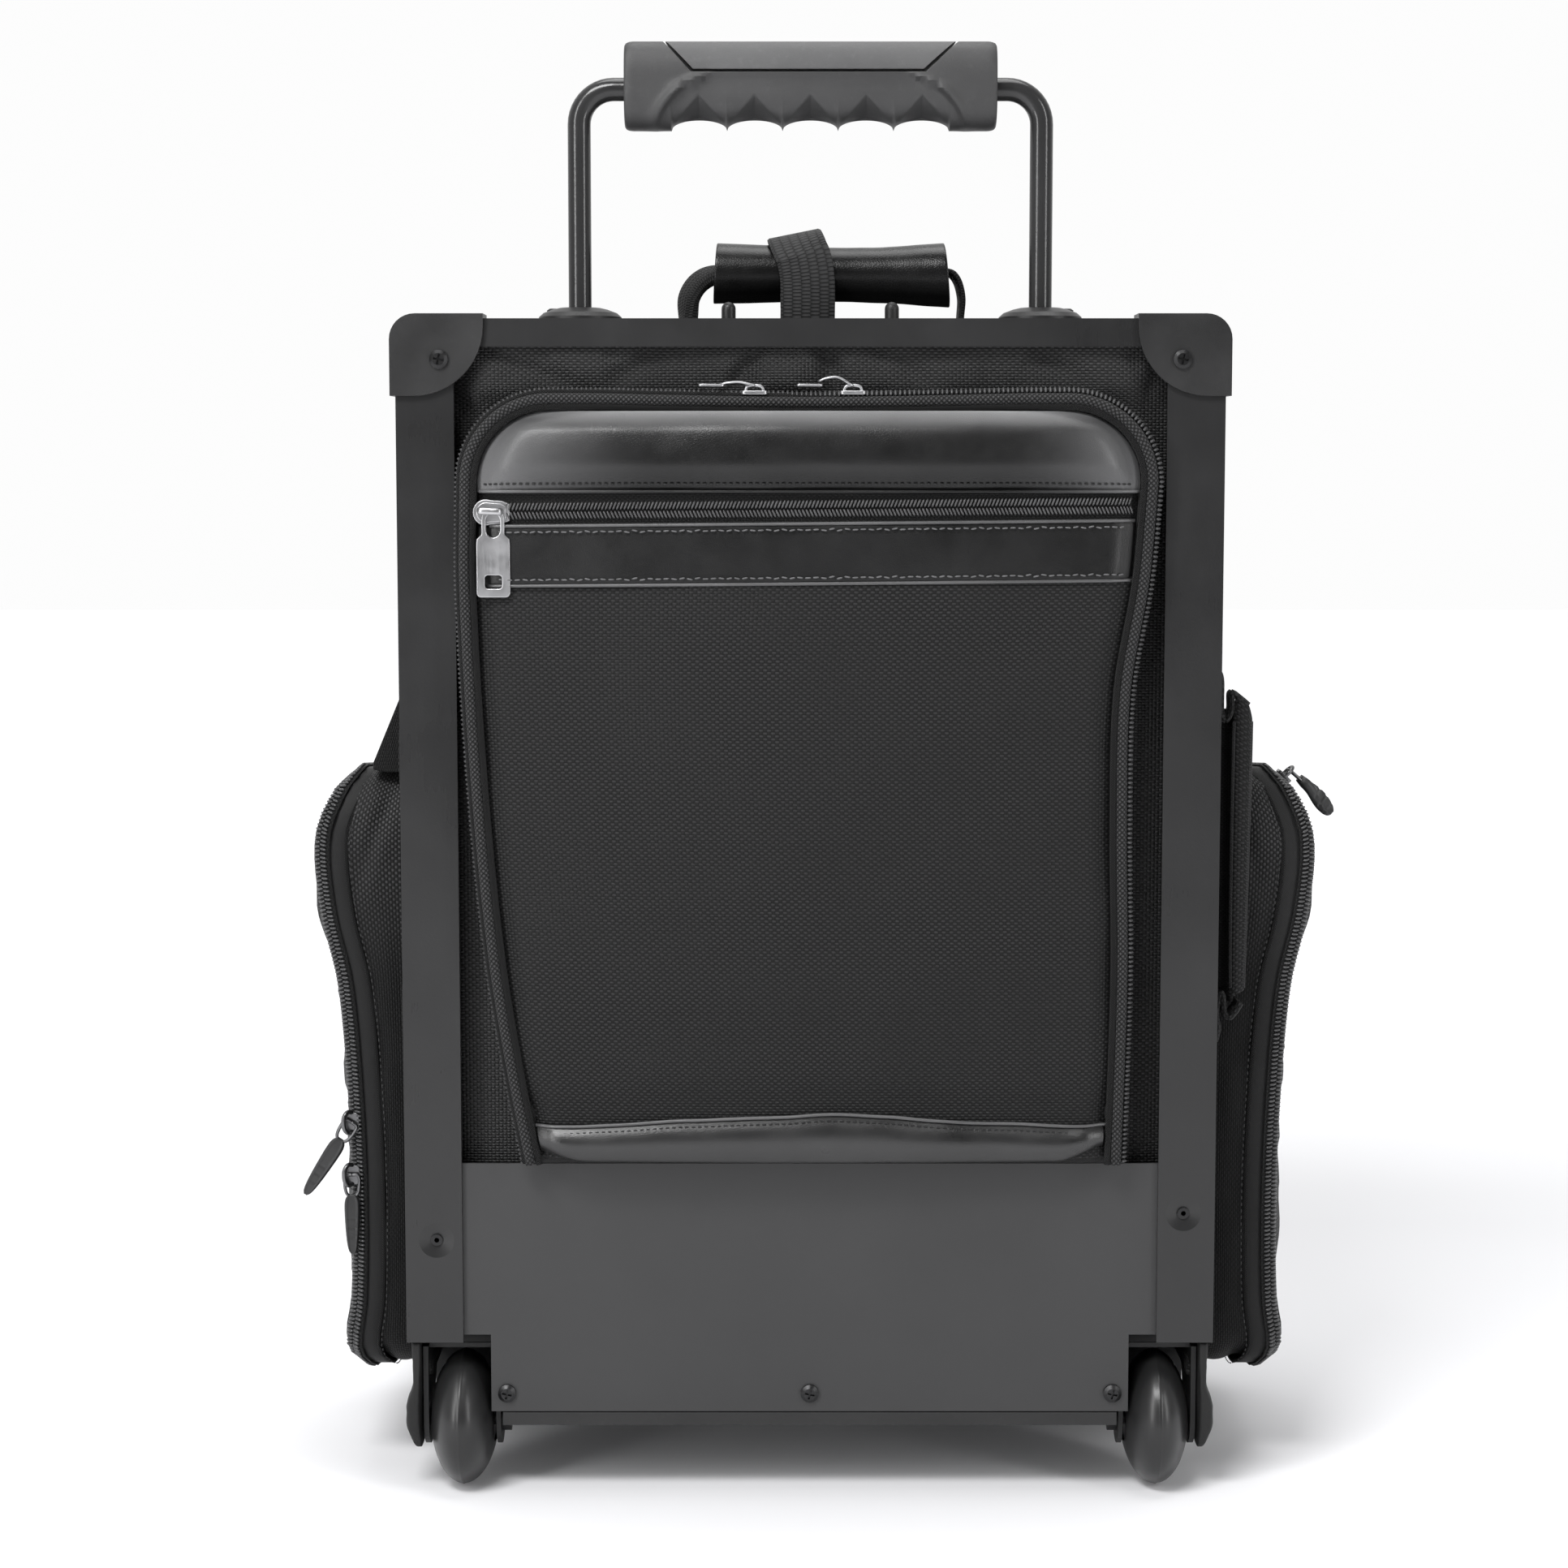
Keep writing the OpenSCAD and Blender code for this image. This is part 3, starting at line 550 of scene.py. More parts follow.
def dress(obj, material, body, slot, *replaced):
    """Gives a piece its material, the body that it rides on and the CAD nodes it stands for. The slot argument
    is not used.
    """
    obj.data.materials.clear()
    obj.data.materials.append(material)
    if body:
        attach(obj, body)
    if replaced:
        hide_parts(*replaced)
    return obj


# ---------------------------------------------------------------- materials

POSITIVE = 4000.0                      # added to a thread count so that it never goes below zero


class Shader:
    """A small wrapper that adds nodes to one material."""

    def __init__(self, name, **values):
        self.material = bpy.data.materials.new(name)
        self.material.use_nodes = True
        self.tree = self.material.node_tree
        self.bsdf = self.tree.nodes["Principled BSDF"]
        for key, value in values.items():
            self.bsdf.inputs[key.replace("_", " ")].default_value = value

    def node(self, kind, out=0, links=(), **settings):
        made = self.tree.nodes.new(kind)
        for key, value in settings.items():
            if hasattr(made, key):
                setattr(made, key, value)
            else:
                made.inputs[key.replace("_", " ")].default_value = value
        for socket, source in links:
            self.tree.links.new(source, made.inputs[socket])
        return made.outputs[out]

    def math(self, operation, a, b=None):
        made = self.tree.nodes.new("ShaderNodeMath")
        made.operation = operation
        for socket, value in ((0, a), (1, b)):
            if isinstance(value, (int, float)):
                made.inputs[socket].default_value = value
            elif value is not None:
                self.tree.links.new(value, made.inputs[socket])
        return made.outputs[0]

    def wave(self, turns):
        """Rounded threads: 0 at whole numbers and 1 halfway between them."""
        return self.math("ABSOLUTE", self.math("SINE", self.math("MULTIPLY", turns, math.pi)))

    def split(self, source):
        """The X, Y and Z of a place."""
        return self.node("ShaderNodeSeparateXYZ", links=[(0, source)]).node.outputs

    def cloudy(self, noise, low, high):
        """The middle part of a noise, spread from low to high."""
        return self.ramp(noise, low, high, 0.3, 0.7)

    def stretched(self, where, z_scale):
        """A place drawn out along Z, for marks that run along the part."""
        made = self.node("ShaderNodeVectorMath", operation="MULTIPLY", links=[(0, where)])
        made.node.inputs[1].default_value = (1.0, 1.0, z_scale)
        return made

    def place(self, on_surface=True):
        """Position in millimetres: along the surface, or in the object's own frame."""
        coords = self.tree.nodes.new("ShaderNodeTexCoord")
        if on_surface:
            return coords.outputs["UV"]
        made = self.tree.nodes.new("ShaderNodeVectorMath")
        made.operation = "SCALE"
        made.inputs["Scale"].default_value = 1 / MM
        self.tree.links.new(coords.outputs["Object"], made.inputs[0])
        return made.outputs[0]

    def noise(self, where, size, detail=3.0, rough=0.55):
        """Cloudy noise whose clouds are about size millimetres wide."""
        return self.node("ShaderNodeTexNoise", links=[("Vector", where)],
                         Scale=1 / size, Detail=detail, Roughness=rough)

    def ramp(self, source, low, high, from_low=0.0, from_high=1.0):
        return self.node("ShaderNodeMapRange", links=[("Value", source)],
                         From_Min=from_low, From_Max=from_high, To_Min=low, To_Max=high)

    def mix(self, factor, dark, light):
        """A grey between dark and light, which are linear greys or colours."""
        made = self.tree.nodes.new("ShaderNodeMix")
        made.data_type = "RGBA"
        self.tree.links.new(factor, made.inputs["Factor"])
        for socket, value in (("A", dark), ("B", light)):
            target = [s for s in made.inputs if s.name == socket and s.type == "RGBA"][0]
            if isinstance(value, (int, float)):
                target.default_value = (value, value, value * 1.02, 1)
            else:
                self.tree.links.new(value, target)
        return [s for s in made.outputs if s.type == "RGBA"][0]

    def colour(self, source):
        self.tree.links.new(source, self.bsdf.inputs["Base Color"])

    def roughness(self, source):
        self.tree.links.new(source, self.bsdf.inputs["Roughness"])

    def bump(self, height, depth, strength=1.0):
        """Relief of depth millimetres, laid over what is there already."""
        made = self.tree.nodes.new("ShaderNodeBump")
        made.inputs["Distance"].default_value = depth * MM
        made.inputs["Strength"].default_value = strength
        self.tree.links.new(height, made.inputs["Height"])
        old = self.bsdf.inputs["Normal"].links
        if old:
            self.tree.links.new(old[0].from_socket, made.inputs["Normal"])
        self.tree.links.new(made.outputs["Normal"], self.bsdf.inputs["Normal"])


def woven(name, pitch, dark, light, depth=0.35, shine=0.3, top_sheen_tone=None):
    """Plain weave: flat threads that pass over and under each other, a little wider than they are high.

    The last argument is the tone of a painted sheen: threads near the tops of the side pockets are made lighter,
    standing in for the light that the upturned cloth catches.
    """
    s = Shader(name, Roughness=0.6, Sheen_Weight=0.08, Sheen_Roughness=0.4, Specular_IOR_Level=shine)
    x, y, _ = s.split(s.place())
    u = s.math("ADD", s.math("DIVIDE", x, pitch * 1.15), POSITIVE)
    v = s.math("ADD", s.math("DIVIDE", y, pitch * 0.85), POSITIVE)
    across_u, across_v = s.wave(u), s.wave(v)
    over = s.math("MODULO", s.math("ADD", s.math("FLOOR", u), s.math("FLOOR", v)), 2.0)
    warp = s.math("MULTIPLY", across_v, s.math("ADD", s.math("MULTIPLY", across_u, 0.6), 0.4))
    weft = s.math("MULTIPLY", across_u, s.math("ADD", s.math("MULTIPLY", across_v, 0.6), 0.05))
    under = s.math("SUBTRACT", 1.0, over)
    height = s.math("ADD", s.math("MULTIPLY", warp, over), s.math("MULTIPLY", weft, under))
    cloud = s.noise(s.place(False), 60, 3)
    lit = s.math("MULTIPLY", s.math("MULTIPLY", height, s.math("ADD", s.math("MULTIPLY", over, 0.8), 0.2)),
                 s.cloudy(cloud, 0.6, 1.25))
    tone = s.mix(lit, dark, light)
    if top_sheen_tone:
        # painted sheen: the threads get lighter towards the pockets' tops, where the cloth turns up towards the
        # lamps
        high = s.ramp(s.split(s.place(False))[2], 0, 1, SIDE_HI.z - 93, SIDE_HI.z - 13)
        painted_sheen = s.math("MULTIPLY", high, s.cloudy(cloud, 0.5, 1.0))
        tone = s.mix(s.math("MULTIPLY", painted_sheen, lit), tone, top_sheen_tone)
    s.colour(tone)
    s.roughness(s.cloudy(cloud, 0.5, 0.7))
    s.bump(height, depth)
    return s.material


def leather(name, dark, light, rough=0.36, grain=0.9, shine=0.6, painted_sheen=None):
    """Smooth coated leather: fine grain, soft dents and uneven polish. Its last argument paints a highlight on
    the panel's ends and top edge: a lighter tone where the leather turns towards the lamps.
    """
    s = Shader(name, Specular_IOR_Level=shine, Coat_Weight=shine * 0.4, Coat_Roughness=0.3)
    where = s.place(False)
    cells = s.node("ShaderNodeTexVoronoi", links=[("Vector", where)], feature="DISTANCE_TO_EDGE",
                   Scale=1 / grain)
    cloud = s.noise(where, 45, 4)
    tone = s.mix(s.cloudy(cloud, 0, 1), dark, light)
    if painted_sheen:
        # painted highlight: lighter towards both ends and along the top edge, where the panel turns towards the
        # lamps
        x, _, z = s.split(where)
        left = s.math("POWER", s.ramp(x, 1, 0, -150, -62), 2.0)
        right = s.math("POWER", s.ramp(x, 0, 1, 78, 150), 2.0)
        high = s.math("POWER", s.ramp(z, 0, 1, DOOR_HI.z - 22, DOOR_HI.z - 8), 3.0)
        sheen_area = s.math("MAXIMUM", s.math("MAXIMUM", left, right), high)
        tone = s.mix(s.math("MULTIPLY", sheen_area, s.cloudy(cloud, 0.8, 1.0)), tone, painted_sheen)
    s.colour(tone)
    s.roughness(s.cloudy(s.noise(where, 18, 4), rough - 0.06, rough + 0.1))
    s.bump(s.ramp(cells, 0, 1, 0.0, 0.2), 0.03)
    s.bump(s.noise(where, 14, 2), 0.3, 0.15)
    return s.material


def painted(name, dark, light, rough=0.42):
    """Satin paint on metal: orange peel, faint rubs along the part and patches of dust."""
    s = Shader(name, Metallic=0.0, Specular_IOR_Level=0.42)
    where = s.place(False)
    rubs = s.noise(s.stretched(where, 0.06), 5, 5, 0.7)
    cloud = s.noise(where, 70, 4)
    s.colour(s.mix(s.math("ADD", s.cloudy(cloud, 0, 0.7), s.ramp(rubs, 0, 0.07, 0.45, 0.8)), dark, light))
    s.roughness(s.math("ADD", s.cloudy(cloud, rough - 0.05, rough + 0.05),
                       s.ramp(rubs, -0.01, 0.02, 0.4, 0.8)))
    s.bump(s.noise(where, 1.1, 2), 0.03)
    return s.material


def moulded(name, dark, light, rough=0.5, grain=0.45, depth=0.06, **values):
    """Moulded plastic or rubber with a fine spark-eroded grain and scuffed high spots."""
    s = Shader(name, Specular_IOR_Level=0.42, **values)
    where = s.place(False)
    fine = s.noise(where, grain, 4, 0.65)
    cloud = s.noise(where, 35, 4)
    scuff = s.ramp(s.noise(where, 4, 6, 0.7), 0, 1, 0.55, 0.75)
    s.colour(s.mix(s.math("ADD", s.cloudy(cloud, 0, 0.5), s.math("MULTIPLY", scuff, 0.35)), dark, light))
    s.roughness(s.cloudy(cloud, rough - 0.06, rough + 0.08))
    s.bump(fine, depth)
    return s.material


def bright_metal(name, colour, rough):
    """Plated or drawn metal with fine scratches along its length."""
    s = Shader(name, Metallic=1.0)
    where = s.place(False)
    lines = s.noise(s.stretched(where, 0.04), 0.5, 4, 0.6)
    cloud = s.noise(where, 8, 4)
    s.colour(s.mix(s.cloudy(cloud, 0, 1), colour * 0.86, colour))
    s.roughness(s.math("ADD", s.cloudy(cloud, rough - 0.04, rough + 0.06), s.cloudy(lines, -0.03, 0.05)))
    s.bump(lines, 0.012)
    return s.material


def ribbed_webbing(name, column, row, dark, light):
    """Strap webbing: columns of short raised picks, each column shifted half a pick."""
    s = Shader(name, Roughness=0.62, Sheen_Weight=0.05, Specular_IOR_Level=0.2)
    along, across, _ = s.split(s.place())
    col = s.math("ADD", s.math("DIVIDE", across, column), POSITIVE / 10)
    shift = s.math("MULTIPLY", s.math("MODULO", s.math("FLOOR", col), 2.0), 0.5)
    pick = s.math("ADD", s.math("ADD", s.math("DIVIDE", along, row), POSITIVE / 10), shift)
    height = s.math("MULTIPLY", s.math("POWER", s.wave(col), 0.35), s.math("POWER", s.wave(pick), 0.5))
    s.colour(s.mix(height, dark, light))
    s.bump(height, 0.4)
    s.bump(s.noise(s.place(), 0.35, 2), 0.08)
    return s.material


def corded(name, pitch, dark, light):
    """Piping: fabric cut on the bias round a cord, with its weave running aslant."""
    s = Shader(name, Roughness=0.6, Sheen_Weight=0.05, Specular_IOR_Level=0.15)
    along, across, _ = s.split(s.place())
    height = s.math("MULTIPLY", *(s.wave(s.math("DIVIDE", s.math(sign, along, across), pitch))
                                  for sign in ("ADD", "SUBTRACT")))
    s.colour(s.mix(height, dark, light))
    s.bump(height, 0.5)
    return s.material


nylon = woven("Ballistic_nylon", 1.45, 0.002, 0.028, 0.35, 0.22)
# a lighter, more contrasty copy of the ballistic nylon: painted light on the padded panel, which is lit from
# above where it gathers under the top rail
panel_nylon_lit = woven("Panel_nylon_painted_light", 1.45, 0.001, 0.046, 0.6, 0.4)
# the side pockets' cloth, with a painted sheen near their tops
nylon_fine = woven("Pocket_nylon", 1.15, 0.002, 0.010, 0.25, 0.2, top_sheen_tone=0.09)
nylon_plain = woven("Lining_nylon", 0.6, 0.004, 0.02, 0.15)
nylon_dark = woven("Gusset_nylon", 1.0, 0.002, 0.014, 0.2, 0.2)
tape_nylon = woven("Zip_tape", 0.5, 0.006, 0.014, 0.08)
smooth_leather = leather("Coated_leather", 0.006, 0.012, 0.33)
# the door's top leather, with a painted highlight on its ends and top edge
top_leather = leather("Leather_painted_sheen", 0.003, 0.007, 0.34, shine=0.34, painted_sheen=0.17)
band_leather = leather("Band_leather", 0.004, 0.009, 0.36, shine=0.3)
# lighter leather for the rolled edges of the door's band and strip: a painted highlight along the folds, on top
# of the light that their round edges catch
edge_leather_lit = leather("Leather_edge_painted_highlight", 0.05, 0.08, 0.4)
sleeve_leather = leather("Grip_leather", 0.002, 0.006, 0.3, 1.2, 0.25)
rail_paint = painted("Rail_paint", 0.014, 0.023, 0.31)
plate_paint = painted("Plate_paint", 0.03, 0.039, 0.45)
# darker paint for the wheel brackets: painted shade, as they sit in shadow under the case
bracket_paint_shaded = painted("Bracket_paint_painted_shade", 0.006, 0.012, 0.5)
tube_paint = painted("Tube_enamel", 0.02, 0.03, 0.18)
cap_plastic = moulded("Cap_plastic", 0.014, 0.025, 0.4)
base_plastic = moulded("Base_plastic", 0.014, 0.026, 0.5)
grip_plastic = moulded("Grip_rubber", 0.03, 0.055, 0.5, 0.55, 0.14)
inlay_plastic = moulded("Grip_inlay", 0.06, 0.105, 0.55, 0.7, 0.18)
guard_rubber = moulded("Guard_rubber", 0.004, 0.012, 0.6, 0.8, 0.25)
pull_rubber = moulded("Pull_rubber", 0.02, 0.038, 0.45, 0.4, 0.08)
post_rubber = moulded("Post_rubber", 0.008, 0.02, 0.4)
bezel_plastic = moulded("Bezel_plastic", 0.012, 0.024, 0.42)
tyre_rubber = moulded("Tyre_polyurethane", 0.011, 0.02, 0.36, 6.0, 0.05, Coat_Weight=0.15,
                      Coat_Roughness=0.2)
hub_plastic = moulded("Hub_plastic", 0.012, 0.024, 0.4)
nickel = bright_metal("Satin_nickel", 0.5, 0.34)
gunmetal = bright_metal("Gunmetal", 0.16, 0.3)
black_screw = bright_metal("Blackened_steel", 0.045, 0.36)
black_bolt = bright_metal("Blackened_bolt", 0.03, 0.4)
steel = bright_metal("Drawn_steel", 0.5, 0.28)
tooth_nylon = moulded("Zip_teeth", 0.05, 0.09, 0.24)
bead_nylon = moulded("Zip_coil", 0.05, 0.09, 0.3)
thread_grey = moulded("Grey_thread", 0.09, 0.15, 0.6, 0.3, 0.1)
thread_dim = moulded("Dim_thread", 0.03, 0.05, 0.6, 0.3, 0.1)
thread_black = moulded("Black_thread", 0.006, 0.016, 0.6, 0.3, 0.1)
strap_web = ribbed_webbing("Strap_webbing", 4.0, 1.6, 0.004, 0.034)
loop_web = ribbed_webbing("Loop_webbing", 2.2, 1.2, 0.002, 0.008)
dark_web = ribbed_webbing("Flap_webbing", 1.6, 1.0, 0.001, 0.006)
binding = ribbed_webbing("Edge_binding", 1.2, 1.2, 0.004, 0.034)
piping_cord = corded("Piping", 2.2, 0.002, 0.06)
piping_plain = corded("Smooth_piping", 1.1, 0.002, 0.014)


# ---------------------------------------------------------------- hard parts

def dress_cad():
    """Materials and softened edges for the CAD parts that stay."""
    looks = {
        rail_paint: (0.6, ["top_rail", "side_rail_left", "side_rail_right"]),
        plate_paint: (0.3, ["kick_plate"]),
        # the brackets take the darker paint: painted shade
        bracket_paint_shaded: (0.3, ["wheel_bracket_left", "wheel_bracket_right"]),
        cap_plastic: (1.0, ["corner_cap_left", "corner_cap_right"]),
        base_plastic: (0.5, ["base_tray", "front_feet", "guide_tube_foot"]),
        black_screw: (0.15, ["pan_screws", "rail_rivets"]),
        black_bolt: (0.2, ["axle_bolts"]),
        steel: (0.2, ["guide_tubes", "mid_tubes", "wheel_bearings_left", "wheel_bearings_right"]),
        bezel_plastic: (0.8, ["socket_bezels"]),
        hub_plastic: (0.4, ["wheel_hub_left", "wheel_hub_right"]),
        post_rubber: (0.0, ["handle_rest_posts"]),
        tube_paint: (0.0, ["handle_tube"]),
        nickel: (0.35, ["lid_slider", "lid_pull"]),
    }
    for material, (edge, names) in looks.items():
        for name in names:
            part = nodes[name]
            part.data.materials.clear()
            part.data.materials.append(material)
            if edge:
                soften(part, edge, 3)


def wheel(tag):
    """A tyre turned about its axle: round crown with a moulding line, and lips over the hub's faces."""
    lo, hi = cad("wheel_tyre_" + tag)
    centre = (lo + hi) / 2
    radius = (hi.z - lo.z) / 2
    crown_r, wide = radius - 0.3, 15.1
    rim, bore, hub_face = 11.6, 17.15, 13.15
    turn = math.acos(rim / crown_r)
    profile = []
    for a in np.linspace(-turn, turn, 61):
        x = wide * math.sin(a)
        profile.append((x, crown_r * math.cos(a) + 0.3 * bell(x, 0.45)))
    profile += [(hub_face, 11.4), (11.65, bore), (-11.65, bore), (-hub_face, 11.4)]
    count = len(profile)

    def point(u, v):
        x, r = profile[round(v * count) % count]
        a = 2 * math.pi * u
        return centre + Vector((x, r * math.cos(a), r * math.sin(a)))
    tyre = closed_grid("tyre_" + tag, 128, count, point)
    dress(tyre, tyre_rubber, "wheel_" + tag, "tyre", "wheel_tyre_" + tag)


def wheel_guard(tag, s):
    """A thick rubber pad that curves round the wheel's outer side, seen edge on from the trolley side."""
    lo, hi = cad("wheel_guards")
    outer = [(18, 174.6), (22, 177.0), (29, 179.0), (37, 179.4), (43, 178.2), (48, 176.4), (54, 176.0),
             (69, 176.4)]
    inner = [(18, 172.6), (24, 172.4), (69, 172.3)]
    far = [(18, lo.y + 16), (28, lo.y + 26), (46, hi.y - 1), (69, hi.y - 4)]
    near = [(18, lo.y + 6), (28, lo.y + 2), (40, lo.y + 0.5), (69, lo.y + 0.5)]
    z0, z1 = lo.z + 4.5, hi.z

    def point(u, v):
        z = lerp(z0, z1, v)
        end = min(v * (z1 - z0), (1 - v) * (z1 - z0), 2.0) / 2.0
        keep = 0.45 + 0.55 * roll(end)
        x0, x1, y0, y1 = follow(inner, z), follow(outer, z), follow(near, z), follow(far, z)
        if z > 50:
            y1 = lerp(y1, lo.y + 9.8, ease((z - 50) / 9))
        a = 2 * math.pi * u
        c, d = math.cos(a), math.sin(a)
        cx, cy = (x0 + x1) / 2, (y0 + y1) / 2
        x = cx + signed_power(c, 0.45) * (x1 - x0) / 2 * keep
        y = cy + signed_power(d, 0.3) * (y1 - y0) / 2 * keep
        x += folds((y, 0, z), 7, 0.35) * (1 if x > cx else 0)
        return Vector((s * x, y, z))
    guard = closed_grid("wheel_guard_" + tag, 64, 60, point)
    return dress(guard, guard_rubber, "case", "rubber_trim", *(("wheel_guards",) if s < 0 else ()))


# ---------------------------------------------------------------- trolley-side pocket door

DOOR_R = 38.0
# x of the door's two edges at a few heights: it tapers to the left of the bottom
LEFT_EDGE = [(151, -124), (190, -131.5), (242, -139.5), (313, -146), (400, -150.5), (447, -150)]
RIGHT_EDGE = [(151, 135.5), (234, 137.5), (300, 136.5), (358, 137.5), (405, 145), (447, 148.5)]
ZIP_BOTTOM, ZIP_TOP = 428.5, 443.0
BAND_BOTTOM = 403.0


def door_edges(z, inset):
    """The door's left and right x at a height, drawn in by inset."""
    bend = DOOR_HI.z - DOOR_R
    if z <= bend:
        return follow(LEFT_EDGE, z) + inset, follow(RIGHT_EDGE, z) - inset
    r = DOOR_R - inset
    run = math.sqrt(max(r * r - (z - bend) ** 2, 0.0))
    return LEFT_EDGE[-1][1] + DOOR_R - run, RIGHT_EDGE[-1][1] - DOOR_R + run


def door_path(inset, y, low=None):
    """Up the left edge, over the top and down the right edge, as points at one depth."""
    low = DOOR_LO.z if low is None else low
    bend = DOOR_HI.z - DOOR_R
    r = DOOR_R - inset
    left_x, right_x = LEFT_EDGE[-1][1] + DOOR_R, RIGHT_EDGE[-1][1] - DOOR_R
    rise = [lerp(low, bend, k / 40) for k in range(40)]
    flat = [(door_edges(z, inset)[0], z) for z in rise]
    flat += arc_points((left_x, bend), r, 180, 90, 14)
    flat += [(lerp(left_x, right_x, k / 24), DOOR_HI.z - inset + top_wave(lerp(left_x, right_x, k / 24)))
             for k in range(1, 24)]
    flat += arc_points((right_x, bend), r, 90, 0, 14)
    flat += [(door_edges(z, inset)[1], z) for z in reversed(rise)]
    return [Vector((x, y, z)) for x, z in flat]


def top_wave(x):
    """The top edge sags a little between the corners."""
    return -1.6 * math.cos(x / 75) ** 2 * ease((100 - abs(x)) / 30)


def tilt(x):
    """The zip and the band under it rise slightly to the right."""
    return 2.4 * (x + 136) / 274


def out_of_door(p):
    """Direction in the door's plane from inside it to a point of its edge."""
    bend = DOOR_HI.z - DOOR_R
    if p.z <= bend:
        return Vector((math.copysign(1, p.x), 0, -0.05)).normalized()
    if abs(p.x) < LEFT_EDGE[-1][1] * -1 - DOOR_R:
        return Vector((0, 0, 1))
    centre = Vector((math.copysign(-LEFT_EDGE[-1][1] - DOOR_R, p.x), 0, bend))
    return Vector((p.x - centre.x, 0, p.z - bend)).normalized()


def door_relief(x, z, inset):
    """How far the door's skin stands out from its face plane."""
    left, right = door_edges(z, inset)
    edge = min(x - left, right - x, DOOR_HI.z - inset - z + 0.01)
    puff = 7.0 * hump(clamp((x - left) / (right - left)), 0.8)
    puff *= 0.55 + 0.45 * hump(clamp((z - DOOR_LO.z) / 340))
    return puff - 3.0 * (1 - ease(edge / 9)) + folds((x, 0, z), 70, 0.8) + folds((x, 9, z), 24, 0.18)


def door_sheet(name, columns, rows, inset, z_of, proud, thick):
    """A sheet on the door between two edges. z_of(x share, height share) gives the height."""
    def point(u, v):
        z = z_of(u, v)
        left, right = door_edges(z, inset)
        x = lerp(left, right, u)
        return x, FACE - proud(u, v, x, z) - door_relief(x, z, inset), z
    return thicken(grid(name, columns, rows, point), thick, min(thick * 0.4, 0.7))


def on_door(x, z, lift):
    return Vector((x, FACE - lift - door_relief(x, z, 8), z))


def leather_swell(x, z):
    """The leather panel swells: it rolls over at the top and turns away towards both ends."""
    top = DOOR_HI.z - 7.6
    t = (z - ZIP_TOP) / (top - ZIP_TOP)
    up = max(math.sin(math.pi * clamp(t) ** 0.85), 0.0) ** 0.8
    left, right = door_edges(z, 7.4)
    ends = 4.6 * (1 - math.exp(-(x - left) / 26)) * (1 - math.exp(-(right - x) / 16))
    return 3.4 * up * ease(min(x - left, right - x) / 14) + ends * ease(t / 0.35)


def strip_top(x):
    """Top edge of the leather strip along the door's bottom."""
    return 168 + 6.0 * bell(x - 5, 75) + folds((x, 0, 3), 40, 1.0)


def door_panels():
    """The pocket's core, its fabric, its leather panels and the tape of its zip."""
    back = DOOR_HI.y - FACE - 3.4

    def core(u, v):
        z = lerp(DOOR_LO.z, DOOR_HI.z - 1, math.sin(v * math.pi / 2))
        left, right = door_edges(z, 1.0)
        return lerp(left, right, u), FACE + 3.4, z
    dress(thicken(grid("door_core", 40, 40, core), back, 0.8), nylon_plain, DOOR, "nylon", "back_door")

    def leather_z(u, v):
        return lerp(ZIP_TOP, DOOR_HI.z - 7.6, math.sin(v * math.pi / 2))
    leather_top = door_sheet(
        "door_leather_top", 110, 26, 7.4, leather_z,
        lambda u, v, x, z: 0.4 + leather_swell(x, z) + folds((x, 2, z), 70, 0.8), 1.6)
    dress(leather_top, top_leather, DOOR, "leather")
    fabric = door_sheet(
        "door_fabric", 90, 110, 6.5,
        lambda u, v: lerp(DOOR_LO.z + 3, BAND_BOTTOM + 4, v),
        lambda u, v, x, z: 0.2 + folds((x, 4, z), 90, 1.2, (1.6, 1, 1))
        + folds((x, 6, z), 32, 0.5, (1.8, 1, 1))
        - 1.6 * bell(z - strip_top(x) - 5, 9), 1.4)
    dress(fabric, nylon, DOOR, "nylon")
    tape = door_sheet(
        "door_zip_tape", 60, 6, 6.8,
        lambda u, v: lerp(ZIP_BOTTOM - 3, ZIP_TOP + 3, v) + tilt(lerp(-136, 138, u)),
        lambda u, v, x, z: -0.9, 1.0)
    dress(tape, nylon_dark, DOOR, "nylon")
    band = door_sheet(
        "door_leather_band", 100, 14, 8.0,
        lambda u, v: lerp(BAND_BOTTOM, ZIP_BOTTOM, v) + tilt(lerp(-136, 138, u)),
        lambda u, v, x, z: 1.1 + 0.5 * hump(v, 0.5) + folds((x, 3, z), 34, 0.25), 1.6)
    dress(band, band_leather, DOOR, "leather")

    def strip_z(u, v):
        x = lerp(-120, 132, u)
        low = DOOR_LO.z + 1.5 + 4.0 * (1 - ease(u * 14)) + 6.0 * (1 - ease((1 - u) * 12))
        return lerp(low, strip_top(x), v)
    strip = door_sheet("door_leather_strip", 90, 12, 7.8, strip_z,
                       lambda u, v, x, z: 1.0 + 3.4 * hump(min(v * 1.05, 1), 0.8), 1.5)
    dress(strip, smooth_leather, DOOR, "leather")


